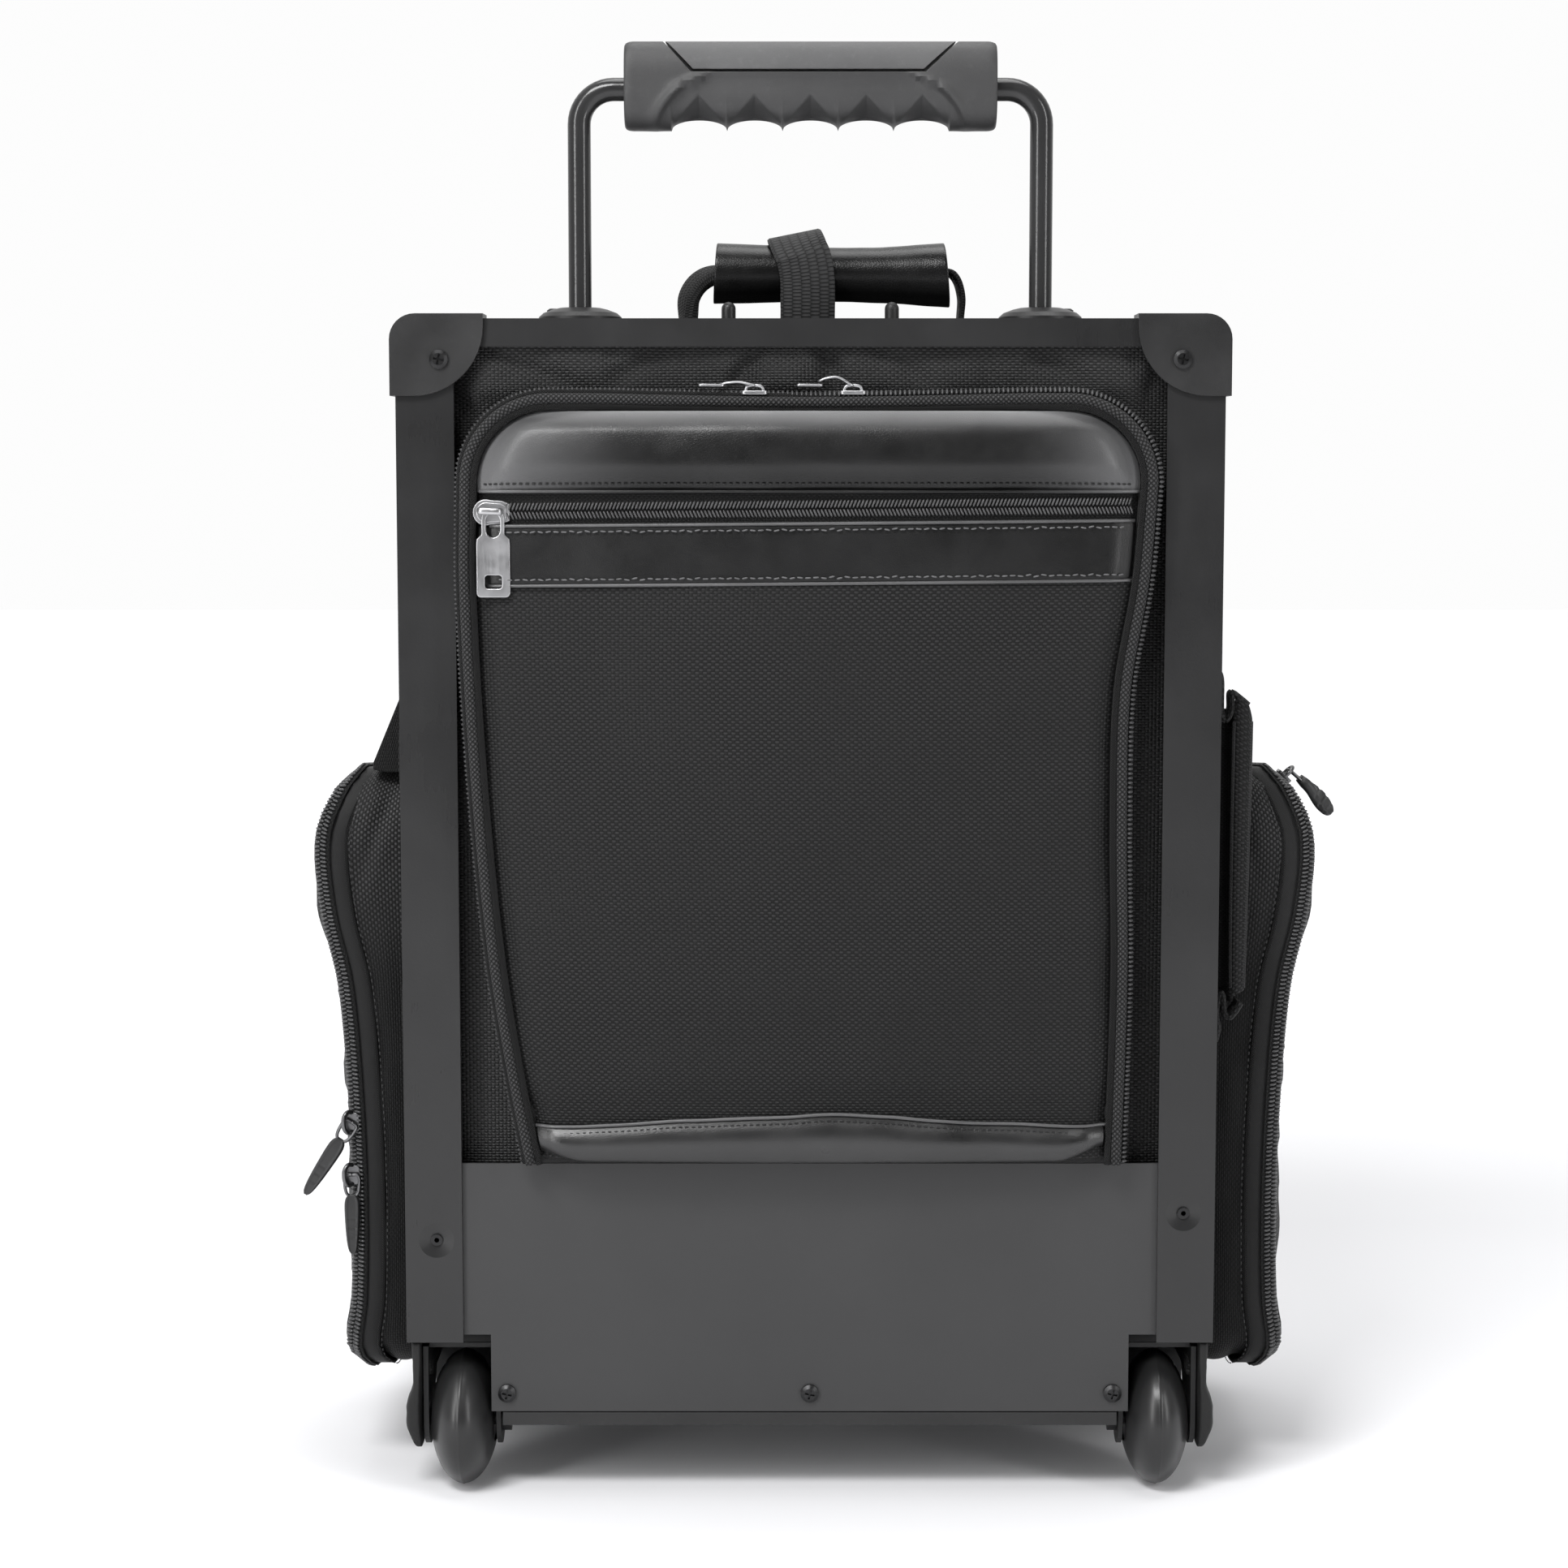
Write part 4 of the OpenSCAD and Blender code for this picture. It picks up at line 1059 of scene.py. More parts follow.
def door_rim():
    """Piping round the door, and the zip that runs round its edge."""
    dress(sweep("door_piping", door_path(2.3, FACE + 0.4), round_section(2.35, 12), Y),
          piping_cord, DOOR, "nylon")
    dress(sweep("door_inner_binding", door_path(5.9, FACE + 0.2), round_section(1.5, 10), Y),
          piping_plain, DOOR, "nylon")
    dress(sweep("door_zip_binding", door_path(0.2, FACE + 3.8), round_section(2.2, 10), Y),
          piping_plain, DOOR, "nylon")
    around = door_path(-0.6, 0)
    outward = [out_of_door(p) for p in around]
    tape_path = door_path(-0.4, FACE + 7.0)
    dress(sweep("door_zip_side_tape", tape_path, strap_section(8, 1.0), outward), nylon_dark, DOOR, "nylon")
    coil = [Vector((p.x, FACE + lerp(3.6, 1.6, ease((p.x + 20) / 60)), p.z)) + out_of_door(p) * 0.9
            for p in around]
    teeth = []
    for p, t in at_steps(coil, 2.0):
        out = out_of_door(p)
        teeth.append((p, (Y * 0.75 + out * 0.65).normalized() * 3.2, t * 1.25, 1.5))
    dress(pegs("door_zip_teeth", teeth), bead_nylon, DOOR, "nylon")


def door_seams():
    """The pocket's own zip, the folded edges of the leather and the stitches."""
    zip_line = [on_door(x, (ZIP_BOTTOM + ZIP_TOP) / 2 + tilt(x) - 0.9, 0.3) for x in range(-139, 140, 4)]
    dress(pegs("pocket_zip_teeth", zip_teeth(zip_line, -Y, 1.6, 3.7)), tooth_nylon, DOOR, "nylon")

    # the band's and the strip's folds take the lighter edge leather: painted highlight along them
    edges = (("door_leather_top_fold", lambda x: ZIP_TOP + 0.3, -141.5, 140.5, 1.6, top_leather),
             ("door_band_top_fold", lambda x: ZIP_BOTTOM + tilt(x), -137, 138.5, 1.5, edge_leather_lit),
             ("door_band_bottom_fold", lambda x: BAND_BOTTOM + tilt(x), -138, 138, 1.4, edge_leather_lit),
             ("door_strip_top_fold", strip_top, -119.5, 131, 1.6, edge_leather_lit))
    for name, z_of, x0, x1, lift, look in edges:
        line = [on_door(x, z_of(x), lift) for x in np.linspace(x0, x1, 90)]
        dress(sweep(name, line, round_section(0.75, 8), Z), look, DOOR, "leather")

    def seam(z_of, x0, x1, lift, **kind):
        return stitches([on_door(x, z_of(x), lift) for x in range(x0, x1, 3)], -Y, **kind)
    grey = seam(lambda x: ZIP_BOTTOM - 2.6 + tilt(x) + 0.35 * math.sin(x * 0.9), -132, 137, 2.5, pitch=3.4,
                length=2.4)
    grey += seam(lambda x: BAND_BOTTOM + 2.6 + tilt(x) + 0.35 * math.sin(x * 0.9), -132, 137, 2.5,
                 pitch=3.4, length=2.4)
    dress(pegs("door_band_stitches", grey), thread_grey, DOOR, "leather")
    low = ZIP_TOP + 3.4
    hem = [on_door(x, low, 1.1 + leather_swell(x, low) + folds((x, 2, low), 70, 0.8))
           for x in range(-139, 139, 3)]
    dark = stitches(hem, -Y, pitch=2.8, length=1.7)
    dark += seam(lambda x: strip_top(x) - 2.8, -117, 130, 2.4, pitch=2.8, length=1.7)
    dress(pegs("door_leather_stitches", dark), thread_black, DOOR, "leather")


def back_gusset():
    """The gusset behind the door."""
    ring = door_path(1.6, 0, DOOR_LO.z + 1)
    count = len(ring) - 1

    def wall(u, v):
        p = ring[round(u * count)]
        y = lerp(DOOR_HI.y + 0.6, BACK_LO.y - 0.5, v)
        out = out_of_door(p) * (2.4 * v + 1.4 * hump(v) + folds((p.x, y * 3, p.z), 16, 0.7))
        return p.x + out.x, y, p.z + out.z
    gusset = thicken(grid("back_pocket_gusset", count, 8, wall), 1.6, 0.4, 1)
    dress(gusset, nylon_dark, "case", "nylon", "back_gusset")


def back_panel():
    """The padded panel between the rails, gathered under the top rail."""
    top = TOP_HI.z - 3.2
    pinches = (((-150, 508), (-96, 486), 4.0, 4.4), ((-62, 506), (-88, 489), 4.5, 3.4),
               ((-20, 508), (-34, 487), 3.6, 4.0),
               ((4, 507), (12, 488), 4.0, 4.6), ((26, 507), (52, 490), 3.6, 3.0),
               ((92, 508), (118, 489), 4.5, 3.6),
               ((152, 500), (142, 470), 4.5, 4.2), ((-152, 470), (-147, 430), 4, 3.0))

    def panel(u, v):
        x = lerp(-RAIL_INNER - 4, RAIL_INNER + 4, u)
        z = lerp(BACK_LO.z + 2, top, v)
        near_top = ease((z - 476) / 14)
        relief = 6.5 + folds((x, 0, z), 22, 2.8, (1.5, 1, 1.0)) + folds((x, 5, z), 10, 0.7)
        relief += sum(crease(x, z, *pinch) for pinch in pinches)
        bulge = near_top * relief + folds((x, 8, z), 40, 1.0) + 1.5
        edge = min(u, 1 - u) * 2 * RAIL_INNER
        tube = min(abs(x - TUBE_X), abs(x + TUBE_X))
        room = 8.6 if z > 500 else 12
        return x, BACK_LO.y - min(bulge * ease(edge / 14), room) - (1.0 if tube < 12 and z > 500 else 0), z
    back = thicken(grid("back_panel", 150, 170, panel), 2.0, 0.4)
    # the lighter copy of the nylon: painted light on this panel
    dress(back, panel_nylon_lit, "case", "nylon", "shell_back")


# ---------------------------------------------------------------- bag body and lid

CORNER_R = 16.0


def bag_outline(t):
    """A point of the U from the left back edge round the front to the right back edge, and its normal."""
    x, y0, y1, r = HALF_W, SIDES_LO.y, SIDES_HI.y, CORNER_R
    side, bend, front = y1 - r - y0, math.pi / 2 * r, 2 * (x - r)
    s = t * (2 * side + 2 * bend + front)
    if s <= side:
        return Vector((-x, y0 + s, 0)), -X
    if side + bend < s <= side + bend + front:
        return Vector((-x + r + s - side - bend, y1, 0)), Y
    if s > side + 2 * bend + front:
        return Vector((x, y1 - r - (s - side - 2 * bend - front), 0)), X
    left = s <= side + bend
    turn = math.pi - (s - side) / r if left else math.pi / 2 - (s - side - bend - front) / r
    c, d = math.cos(turn), math.sin(turn)
    return Vector(((r - x if left else x - r) + r * c, y1 - r + r * d, 0)), Vector((c, d, 0))


def bag_body():
    low, high = SIDES_LO.z, SIDES_HI.z - 0.5

    def wall(u, v):
        p, n = bag_outline(u)
        z = lerp(low, high, v)
        flat = 1 - ease(1.6 * abs(abs(n.x) - abs(n.y)) - 0.9)
        middle = hump(v)
        out = 2.6 * middle * (1 - flat)
        out = out + folds((p.x, p.y, z), 55, 1.3 * middle) + folds((p.x, p.y, z), 19, 0.35)
        out -= 5.0 * (1 - ease(v * 26))
        out = min(out, 3.2)
        return p + n * (out - 0.6) + Z * z
    body = thicken(grid("bag_body", 200, 110, wall), 4.5, 0.8, 1)
    dress(body, nylon, "case", "nylon", "shell_sides", "shell_front")

    for s, tag in SIDES:
        corner = Vector((s * (HALF_W - CORNER_R * 0.29), SIDES_HI.y - CORNER_R * 0.29, 0))
        out = Vector((s * 0.7, 0.7, 0))
        line = [corner + out * (0.8 - 2.5 * (1 - ease((z - low) / 14))) + Z * z
                for z in np.linspace(low + 2, high, 60)]
        dress(sweep("front_piping_" + tag, line, round_section(2.4, 10), out), piping_cord, "case", "nylon")
        seat = [Vector((s * (HALF_W + 0.9), SIDES_LO.y + 26, z)) for z in np.linspace(low + 4, high, 60)]
        dress(sweep("side_binding_" + tag, seat, strap_section(9, 1.4), X * s), binding, "case", "webbing")


def linings():
    """The bag's floor and the board over the handle's tubes."""
    floor_lo, floor_hi = cad("shell_bottom")

    def lining(u, v):
        return lerp(floor_lo.x, floor_hi.x, u), lerp(floor_lo.y, floor_hi.y, v), floor_hi.z - 0.3
    base = thicken(grid("bag_floor", 30, 20, lining), 4.2, 0.6)
    dress(base, nylon_plain, "case", "nylon", "shell_bottom")
    board_lo, board_hi = cad("tube_cover_board")

    def board(u, v):
        x, z = lerp(board_lo.x, board_hi.x, u), lerp(board_lo.z, board_hi.z - 0.5, v)
        return x, board_hi.y + folds((x, 2, z), 60, 0.5), z
    cover = thicken(grid("tube_cover_lining", 40, 50, board), 2.6, 0.5, 1)
    dress(cover, nylon_plain, "case", "nylon", "tube_cover_board")


def outward_of(p, middle):
    """Level direction from the rounded box's middle, squared off so that it stays normal to the sides."""
    dx, dy = p.x - middle.x, p.y - middle.y
    side, front = abs(dx) > HALF_W - 14, dy > (LID_HI.y - LID_LO.y) / 2 - 14
    return Vector((math.copysign(1, dx) if side else 0, 1 if front or not side else 0, 0)).normalized()


def lid():
    """The padded lid with its piping and the zip round three sides."""
    outline = rounded_plan(HALF_W - 0.5, LID_LO.y + 1, LID_HI.y - 0.5, 17)
    panel = pad("lid_pad", outline, LID_LO.z + 0.4, LID_HI.z - 1.2, 3.0)
    dress(panel, nylon, "lid", "nylon", "lid_panel")
    rim = [Vector((x, y, LID_HI.z - 1.6)) for x,
           y in rounded_plan(HALF_W - 0.2, LID_LO.y + 2, LID_HI.y - 0.2, 17)]
    dress(sweep("lid_piping", rim, round_section(2.2, 10), Z), piping_cord, "lid", "nylon")
    zip_path = [Vector((x, y, LID_LO.z + 1.6)) for x,
                y in rounded_plan(HALF_W + 0.8, LID_LO.y + 4, LID_HI.y + 0.8, 18)]
    middle = Vector((0, (LID_LO.y + LID_HI.y) / 2, 0))
    teeth = zip_teeth(zip_path, lambda p: outward_of(p, middle), 2.3, 2.4)
    dress(pegs("lid_zip_teeth", teeth), tooth_nylon, "lid", "nylon")


def top_strip():
    """The fixed strip of the top, with a hole for each tube."""
    top = STRIP_HI.z - 1.4

    def strip(u, v):
        x = lerp(STRIP_LO.x, STRIP_HI.x, u)
        y = lerp(STRIP_LO.y, STRIP_HI.y, v)
        edge = min(u, 1 - u) * (STRIP_HI.x - STRIP_LO.x)
        hold = min(math.hypot(x - side * TUBE_X, y - TUBE_Y) for side in (-1, 1))
        rise = (1.2 * hump(v) + folds((x, y, 0), 30, 0.5)) * ease(edge / 10) * ease((hold - 9) / 8)
        return x, y, top + rise
    cover = grid("top_strip_cover", 120, 30, strip)
    cut_holes(cover, [(side * TUBE_X, TUBE_Y) for side in (-1, 1)], 8.6)
    thicken(cover, 5.0, 0.8)
    dress(cover, nylon, "case", "nylon", "top_strip")


def lid_hinge():
    """Fabric between the fixed strip and the lid."""
    def hinge(u, v):
        x = lerp(-HALF_W + 6, HALF_W - 6, u)
        y = lerp(LID_LO.y - 7, LID_LO.y + 7, v)
        return x, y, LID_HI.z + 0.3 - 0.4 * math.cos((v - 0.5) * math.pi * 2)
    flap = thicken(grid("lid_hinge_fabric", 60, 12, hinge), 1.2, 0.3)
    flap.data.materials.append(nylon_dark)
    apply_modifiers(flap)
    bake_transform(flap)


def front_pocket():
    y0, y1 = POCKET_LO.y, POCKET_HI.y
    x1, z0, z1 = POCKET_HI.x, POCKET_LO.z, POCKET_HI.z
    r = 14.0

    def face(u, v):
        x, z = lerp(-x1, x1, u), lerp(z0, z1, v)
        side = min(x + x1, x1 - x)
        low = z - z0
        depth = (y1 - y0 - 3) * roll(side / r)
        depth *= roll(low / r)
        sag = 3.5 * bell(v - 0.35, 0.3) * hump(u)
        lean = -3.0 * ease((v - 0.55) / 0.45) * hump(u)
        return x, y0 + depth + sag + lean + folds((x, 0, z), 55, 1.2) * ease(side / 12), z
    panel = thicken(grid("front_pocket_panel", 110, 90, face), 2.4, 0.6, 1)
    dress(panel, nylon, "case", "nylon", "front_pocket")

    rim = [Vector(face(k / 90, 1.0)) for k in range(91)]
    dress(sweep("front_pocket_binding", rim, strap_section(3.6, 15), Y), smooth_leather, "case", "leather")
    stitch_line = [p + Vector((0, 2.0, -5.0)) for p in rim[6:-6]]
    dress(pegs("front_pocket_stitches", stitches(stitch_line, Y)), thread_grey, "case", "leather")


# ---------------------------------------------------------------- side pockets

# x of the side pockets' zip at a few heights
SEAM = [(45, 205), (56, 211), (78, 208.5), (120, 207.5), (170, 208.7), (223, 212.7), (257, 220), (290, 222),
        (310, 214.5),
        (319, 207)]


def seam_x(s, z):
    """x of a side pocket's zip at a height. The left pocket is the slimmer one."""
    slim = (SIDE_HI.x - LEFT_POCKET.x) + 1.0 if s < 0 else 0.0
    return follow(SEAM, z) - slim


def side_ring(count=120):
    """Rounded outline of a side pocket in Y and Z; its top slopes down towards the case's front."""
    y0, y1, z0, z1, r = SIDE_LO.y, SIDE_HI.y, SIDE_LO.z, SIDE_HI.z, 22
    flat = (arc_points((y1 - r, z0 + r), r, -90, 0, 12) + arc_points((y1 - r, z1 - r), r, 0, 90, 12)
            + arc_points((y0 + r, z1 - r), r, 90, 180, 12) + arc_points((y0 + r, z0 + r), r, 180, 270, 12))
    loop = [Vector((0, y, z - 9 * ease((y - y0 - 35) / 60) * ease((z - 200) / 60))) for y, z in flat]
    total = sum((b - a).length for a, b in zip(loop, loop[1:] + loop[:1]))
    return [p for p, _ in at_steps(loop, total / count * 1.00001, closed=True)][:count]


def side_pocket(s, tag, body):
    ring = side_ring()
    count = len(ring)
    centre = Vector((0, (SIDE_LO.y + SIDE_HI.y) / 2, (SIDE_LO.z + SIDE_HI.z) / 2))

    def out_of(p):
        """Direction from the pocket's middle to a point of its rim, level with the case's side."""
        half_y, half_z = (SIDE_HI.y - SIDE_LO.y) / 2, (SIDE_HI.z - SIDE_LO.z) / 2
        d = Vector((0, ((p.y - centre.y) / half_y) ** 5, ((p.z - centre.z) / half_z) ** 5))
        return d.normalized()

    def facing(p):
        """The way the zip looks: half outwards from the case and half out of the pocket's rim."""
        return (out_of(Vector((0, p.y, p.z))) * 0.75 + X * s * 0.66).normalized()

    def gusset(u, v):
        p = ring[round(u * count) % count]
        x = lerp(HALF_W, seam_x(s, p.z) - 1.5, v)
        high = ease((p.z - 235) / 60)
        sag = 2.2 * hump(v) * (1 + 0.6 * high)
        sag += folds((x * 1.4, p.y, p.z), 22, 1.0 + 0.8 * high) * hump(v)
        sag += crease(x, p.z, (184, 312), (203, 268), 3.4, 2.6) * high
        sag -= 3.2 * ease((62 - p.z) / 12) * bell(x - 195, 5)
        return Vector((s * x, p.y, p.z)) + out_of(p) * (sag - 1.6)
    shell = thicken(grid("side_gusset_cloth_" + tag, count, 22, gusset, wrap=True), 2.0, 0.4,
                    1 if s < 0 else -1)
    dress(shell, nylon_fine, "case", "nylon", "side_gusset_" + tag)

    def at_seam(p, inwards, lift):
        return Vector((s * (seam_x(s, p.z) - inwards), p.y, p.z)) + out_of(p) * lift
    normals = [out_of(p) for p in ring]
    tape = sweep("side_zip_tape_" + tag, [at_seam(p, 7.0, 0.7) for p in ring], strap_section(8.0, 1.2),
                 normals, closed=True)
    dress(tape, tape_nylon, "case", "nylon")
    dress(sweep("side_seam_piping_" + tag, [at_seam(p, 11.3, 0.6) for p in ring], round_section(0.9, 8),
                normals, closed=True),
          piping_plain, "case", "nylon")
    sewn = stitches([at_seam(p, 13.0, 1.6) for p in ring] + [at_seam(ring[0], 13.0, 1.6)], Y, pitch=3.0,
                    length=1.5, thick=0.6)
    dress(pegs("side_seam_stitches_" + tag, sewn), thread_dim, "case", "nylon")
    bed = [at_seam(p, 0.6, -0.8) for p in ring]
    dress(sweep("side_zip_bed_" + tag, bed, strap_section(9.6, 1.2), [facing(p) for p in ring],
                closed=True),
          nylon_dark, body, "nylon")
    coil = [at_seam(p, -0.2, 0.2) for p in ring]
    teeth = zip_teeth(coil, facing, 1.9, 3.8, closed=True, thick=1.9, slant=0.1)
    dress(pegs("side_zip_teeth_" + tag, teeth), tooth_nylon, body, "nylon")

    rings = 14

    def door(u, v):
        p = ring[round(u * count) % count]
        share = 1 - v
        q = centre + (p - centre) * (share if v < 1 else 0.0)
        bulge = 3.0 * (1 - share**4) + folds((q.y, 7, q.z), 45, 1.0) * (1 - share**2)
        return Vector((s * (seam_x(s, q.z) + 0.9 + bulge), q.y, q.z)) - out_of(p) * (1.6 * share**8)
    skin = grid("side_door_skin_" + tag, count, rings, door, wrap=True)
    merge(skin)
    billow(skin, lambda co: min((Vector((0, co.y, co.z)) - p).length for p in ring[::2]) < 9, X * s, 5.0,
           0.02, 5.0)
    set_plan_uvs(skin)
    thicken(skin, 2.2, 0.5, 1 if s < 0 else -1)
    dress(skin, nylon, body, "nylon", "side_door_" + tag)
    edge = [Vector((s * (seam_x(s, p.z) + 1.9), p.y, p.z)) - out_of(p) * 6.0 for p in ring]
    dress(sweep("side_door_piping_" + tag, edge, round_section(1.9, 10), normals, closed=True),
          piping_cord, body, "nylon")


def pocket_hinge(s, tag):
    """Fabric behind the zip on a side pocket's hinge side."""
    def bridge(u, v):
        z = lerp(66, 232, v)
        reach = follow([(0, -13.5), (0.45, -4.0), (0.7, -0.5), (1, 0.4)], u)
        inward = follow([(0, 2.6), (0.45, 2.4), (0.7, 3.4), (1, 10.0)], u)
        return s * (seam_x(s, z) + reach), SIDE_HI.y - inward, z
    fabric = thicken(grid("side_hinge_fabric_" + tag, 16, 40, bridge), 1.0, 0.25)
    fabric.data.materials.append(nylon_dark)
    apply_modifiers(fabric)
    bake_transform(fabric)


def left_flap():
    """The short flap above the left pocket."""
    y0 = SIDE_LO.y + 3
    outline = [(-HALF_W - 0.4, 357), (-HALF_W - 1.8, 357)]
    outline += [(x, z) for x, z in zip(np.linspace(-HALF_W - 5, -194.5, 8), np.linspace(350, 322.5, 8))]
    outline += [(-194.5, 319.5), (-188, 318.5), (-HALF_W - 0.4, 318.5)]
    flap = prism("left_pocket_flap", outline, y0, y0 + 26)
    shade_smooth(flap)
    set_plan_uvs(flap)
    dress(soften(flap, 1.1, 3, 25), dark_web, "case", "webbing")


def torch_sleeve():
    """The pleated sleeve beside the right rail."""
    low, high = SLEEVE_LO, SLEEVE_HI
    x0 = low.x

    def outer_x(z):
        return follow([(low.z, 191.6), (low.z + 40, 192.4), (high.z - 30, 193.6), (high.z, 193.8)], z)

    def inner_x(z):
        return follow([(low.z, 185.6), (low.z + 30, 185.0), (high.z - 20, 185.2), (high.z, 186.2)], z)

    def strip(u, v):
        top = high.z - 3.0 - 4.5 * u - 9.0 * max(u - 0.72, 0) ** 1.5 * 4
        bottom = low.z + 6 + 3.0 * u
        z = lerp(bottom, top, v)
        bow = hump(u, 0.6)
        return lerp(inner_x(z), outer_x(z), u), low.y + 2.6 - 2.2 * bow + folds((0, 3, z), 26, 0.35), z
    outer = thicken(grid("torch_sleeve_strip", 14, 90, strip), 2.4, 0.6, -1)
    dress(outer, nylon, "case", "nylon", "torch_sleeve")
    for name, where, size in (("torch_sleeve_edge_outer", outer_x, 0.9),
                              ("torch_sleeve_edge_inner", inner_x, 0.8)):
        line = [Vector((where(z) - (0.6 if where is outer_x else -0.4), low.y + 2.0, z))
                for z in np.linspace(low.z + 10, high.z - 14, 50)]
        dress(sweep(name, line, round_section(size, 8), Y), binding, "case", "webbing")

    def recess(u, v):
        z = lerp(low.z + 3, high.z - 9, v)
        y = low.y + 6 + 4 * hump(u) + folds((u * 9, 0, z), 14, 0.6)
        return lerp(x0 + 0.3, inner_x(z) + 0.8, u), y, z
    dress(thicken(grid("torch_sleeve_recess", 12, 60, recess), 1.4, 0.3), nylon_dark, "case", "nylon")

    def side(u, v):
        z = lerp(low.z + 9, high.z - 12, v)
        return outer_x(z) - 1.4 + 0.5 * hump(u), lerp(low.y + 3.4, high.y, u), z
    dress(thicken(grid("torch_sleeve_side", 8, 60, side), 1.6, 0.4), nylon_fine, "case", "nylon")
    dress(thicken(grid("torch_sleeve_front", 6, 30, lambda u,
                       v: (lerp(x0 + 0.6, 190, u), high.y - 1.4, lerp(low.z + 10, high.z - 12, v))),
                  1.2, 0.3), nylon_dark, "case", "nylon")
    top = smooth_path([(x0 + 0.8, 0, high.z + 7), (x0 + 1.6, 0, high.z + 3), (x0 + 1.8, 0, high.z - 10),
                       (x0 + 4.0, 0, high.z - 13.5),
                       (x0 + 6.2, 0, high.z - 9), (x0 + 6.4, 0, high.z - 2), (x0 + 9.4, 0, high.z - 3.5),
                       (x0 + 13.6, 0, high.z - 7)], 7)
    bottom = smooth_path([(x0 + 0.8, 0, low.z - 4), (x0 + 2.6, 0, low.z + 7), (x0 + 4.0, 0, low.z + 6),
                          (x0 + 4.8, 0, low.z - 1), (x0 + 7.0, 0, low.z - 3.4), (x0 + 9.6, 0, low.z - 1),
                          (x0 + 12.0, 0, low.z + 3)], 7)
    fray = smooth_path([(x0 + 0.8, 0, low.z - 2), (x0 + 2.2, 0, low.z - 8), (x0 + 1.0, 0, low.z - 14)], 7)
    for name, path, depth in (("torch_sleeve_top_pleat", top, 10),
                              ("torch_sleeve_bottom_pleat", bottom, 14),
                              ("torch_sleeve_tail", fray, 8)):
        path = [Vector((p.x, low.y + 1.5 + depth / 2, p.z)) for p in path]
        dress(sweep(name, path, strap_section(depth, 2.8), Z.cross(Y)), nylon, "case", "nylon")


# ---------------------------------------------------------------- handles

def grip_solid(name):
    """The trolley grip: rounded box section, five finger grooves and a raised leaf at each end."""
    half, top, low = GRIP_HI.x, GRIP_HI.z, GRIP_LO.z
    mid = low + 17
    pitch, depth_y = 24.0, (GRIP_HI.y - GRIP_LO.y) / 2
    grooved = 2.5 * pitch                  # five finger grooves
    leaf = [(low - 1, 66.4), (low + 3, 66), (low + 9, 63.2), (low + 15.5, 57.6), (low + 20, 50.5),
            (low + 23.5, 43)]

    def point(u, v):
        x = lerp(-half, half, u)
        angle = 2 * math.pi * v
        groove = 0.0
        off = ((abs(x) + pitch / 2) % pitch) - pitch / 2
        if abs(x) < grooved:
            groove = math.sqrt(max(1 - (2 * off / pitch) ** 2, 0.0)) ** 0.85
        end = min(half - abs(x), 4.0) / 4.0
        shrink = 1 - 0.08 * (1 - roll(end))
        bottom = low + 4.4 * groove + 0.4
        c, s = math.cos(angle), math.sin(angle)
        power = 3.1 if s > 0 else 2.5
        y = signed_power(c, 2 / power) * depth_y
        z = signed_power(s, 2 / power)
        z = mid + z * (top - mid if s > 0 else mid - bottom)
        line = follow(leaf, z)
        steep = abs(follow(leaf, z + 0.5) - follow(leaf, z - 0.5))
        away = (abs(x) - line) / math.sqrt(1 + steep * steep)
        below_top = ease((low + 24.5 - z) / 4)
        palm = ease((0.4 - away) / 2.2) * below_top
        ridge = bell(away - 0.6, 1.7 + 1.7 * ease((low + 20 - z) / 18))
        ridge = ridge * below_top * ease((z - low + 1) / 3)
        scoop = 0.0
        if abs(x) < grooved:
            scoop = max(0.0, low + 15.0 - 1.15 * abs(off) - z) * ease((grooved - abs(x)) / 6)
        depth = abs(y) * (1 - 0.15 * palm) + 2.0 * ridge - 0.72 * scoop * min(1.0, abs(y) / 6)
        y = math.copysign(max(depth, 0.0), y)
        return x, TUBE_Y + y * shrink, mid + (z - mid) * shrink
    return closed_grid(name, 320, 120, point, 0.01)


def trolley_grip():
    line, top = GRIP_LO.z + 24.6, GRIP_HI.z + 2

    def cover(grow):
        return [(-50.9 - grow, line - grow), (49 + grow, line - grow), (62.8 + grow + 2.6, top),
                (-62.8 - grow - 2.2, top)]
    span = (GRIP_LO.y - 5, GRIP_HI.y + 5)
    body = carve(grip_solid("grip_moulding"), prism("tool", cover(0.6), *span), "DIFFERENCE")
    inlay = carve(grip_solid("grip_inlay"), prism("tool", cover(-0.6), *span), "INTERSECT")
    for obj, look, node, slot in ((body, grip_plastic, "grip_body", "grip_rubber"),
                                  (inlay, inlay_plastic, "grip_cover", "grip_inlay")):
        shade_smooth(obj)
        soften(obj, 0.5, 2, 50)
        dress(obj, look, "trolley_handle", slot, node)


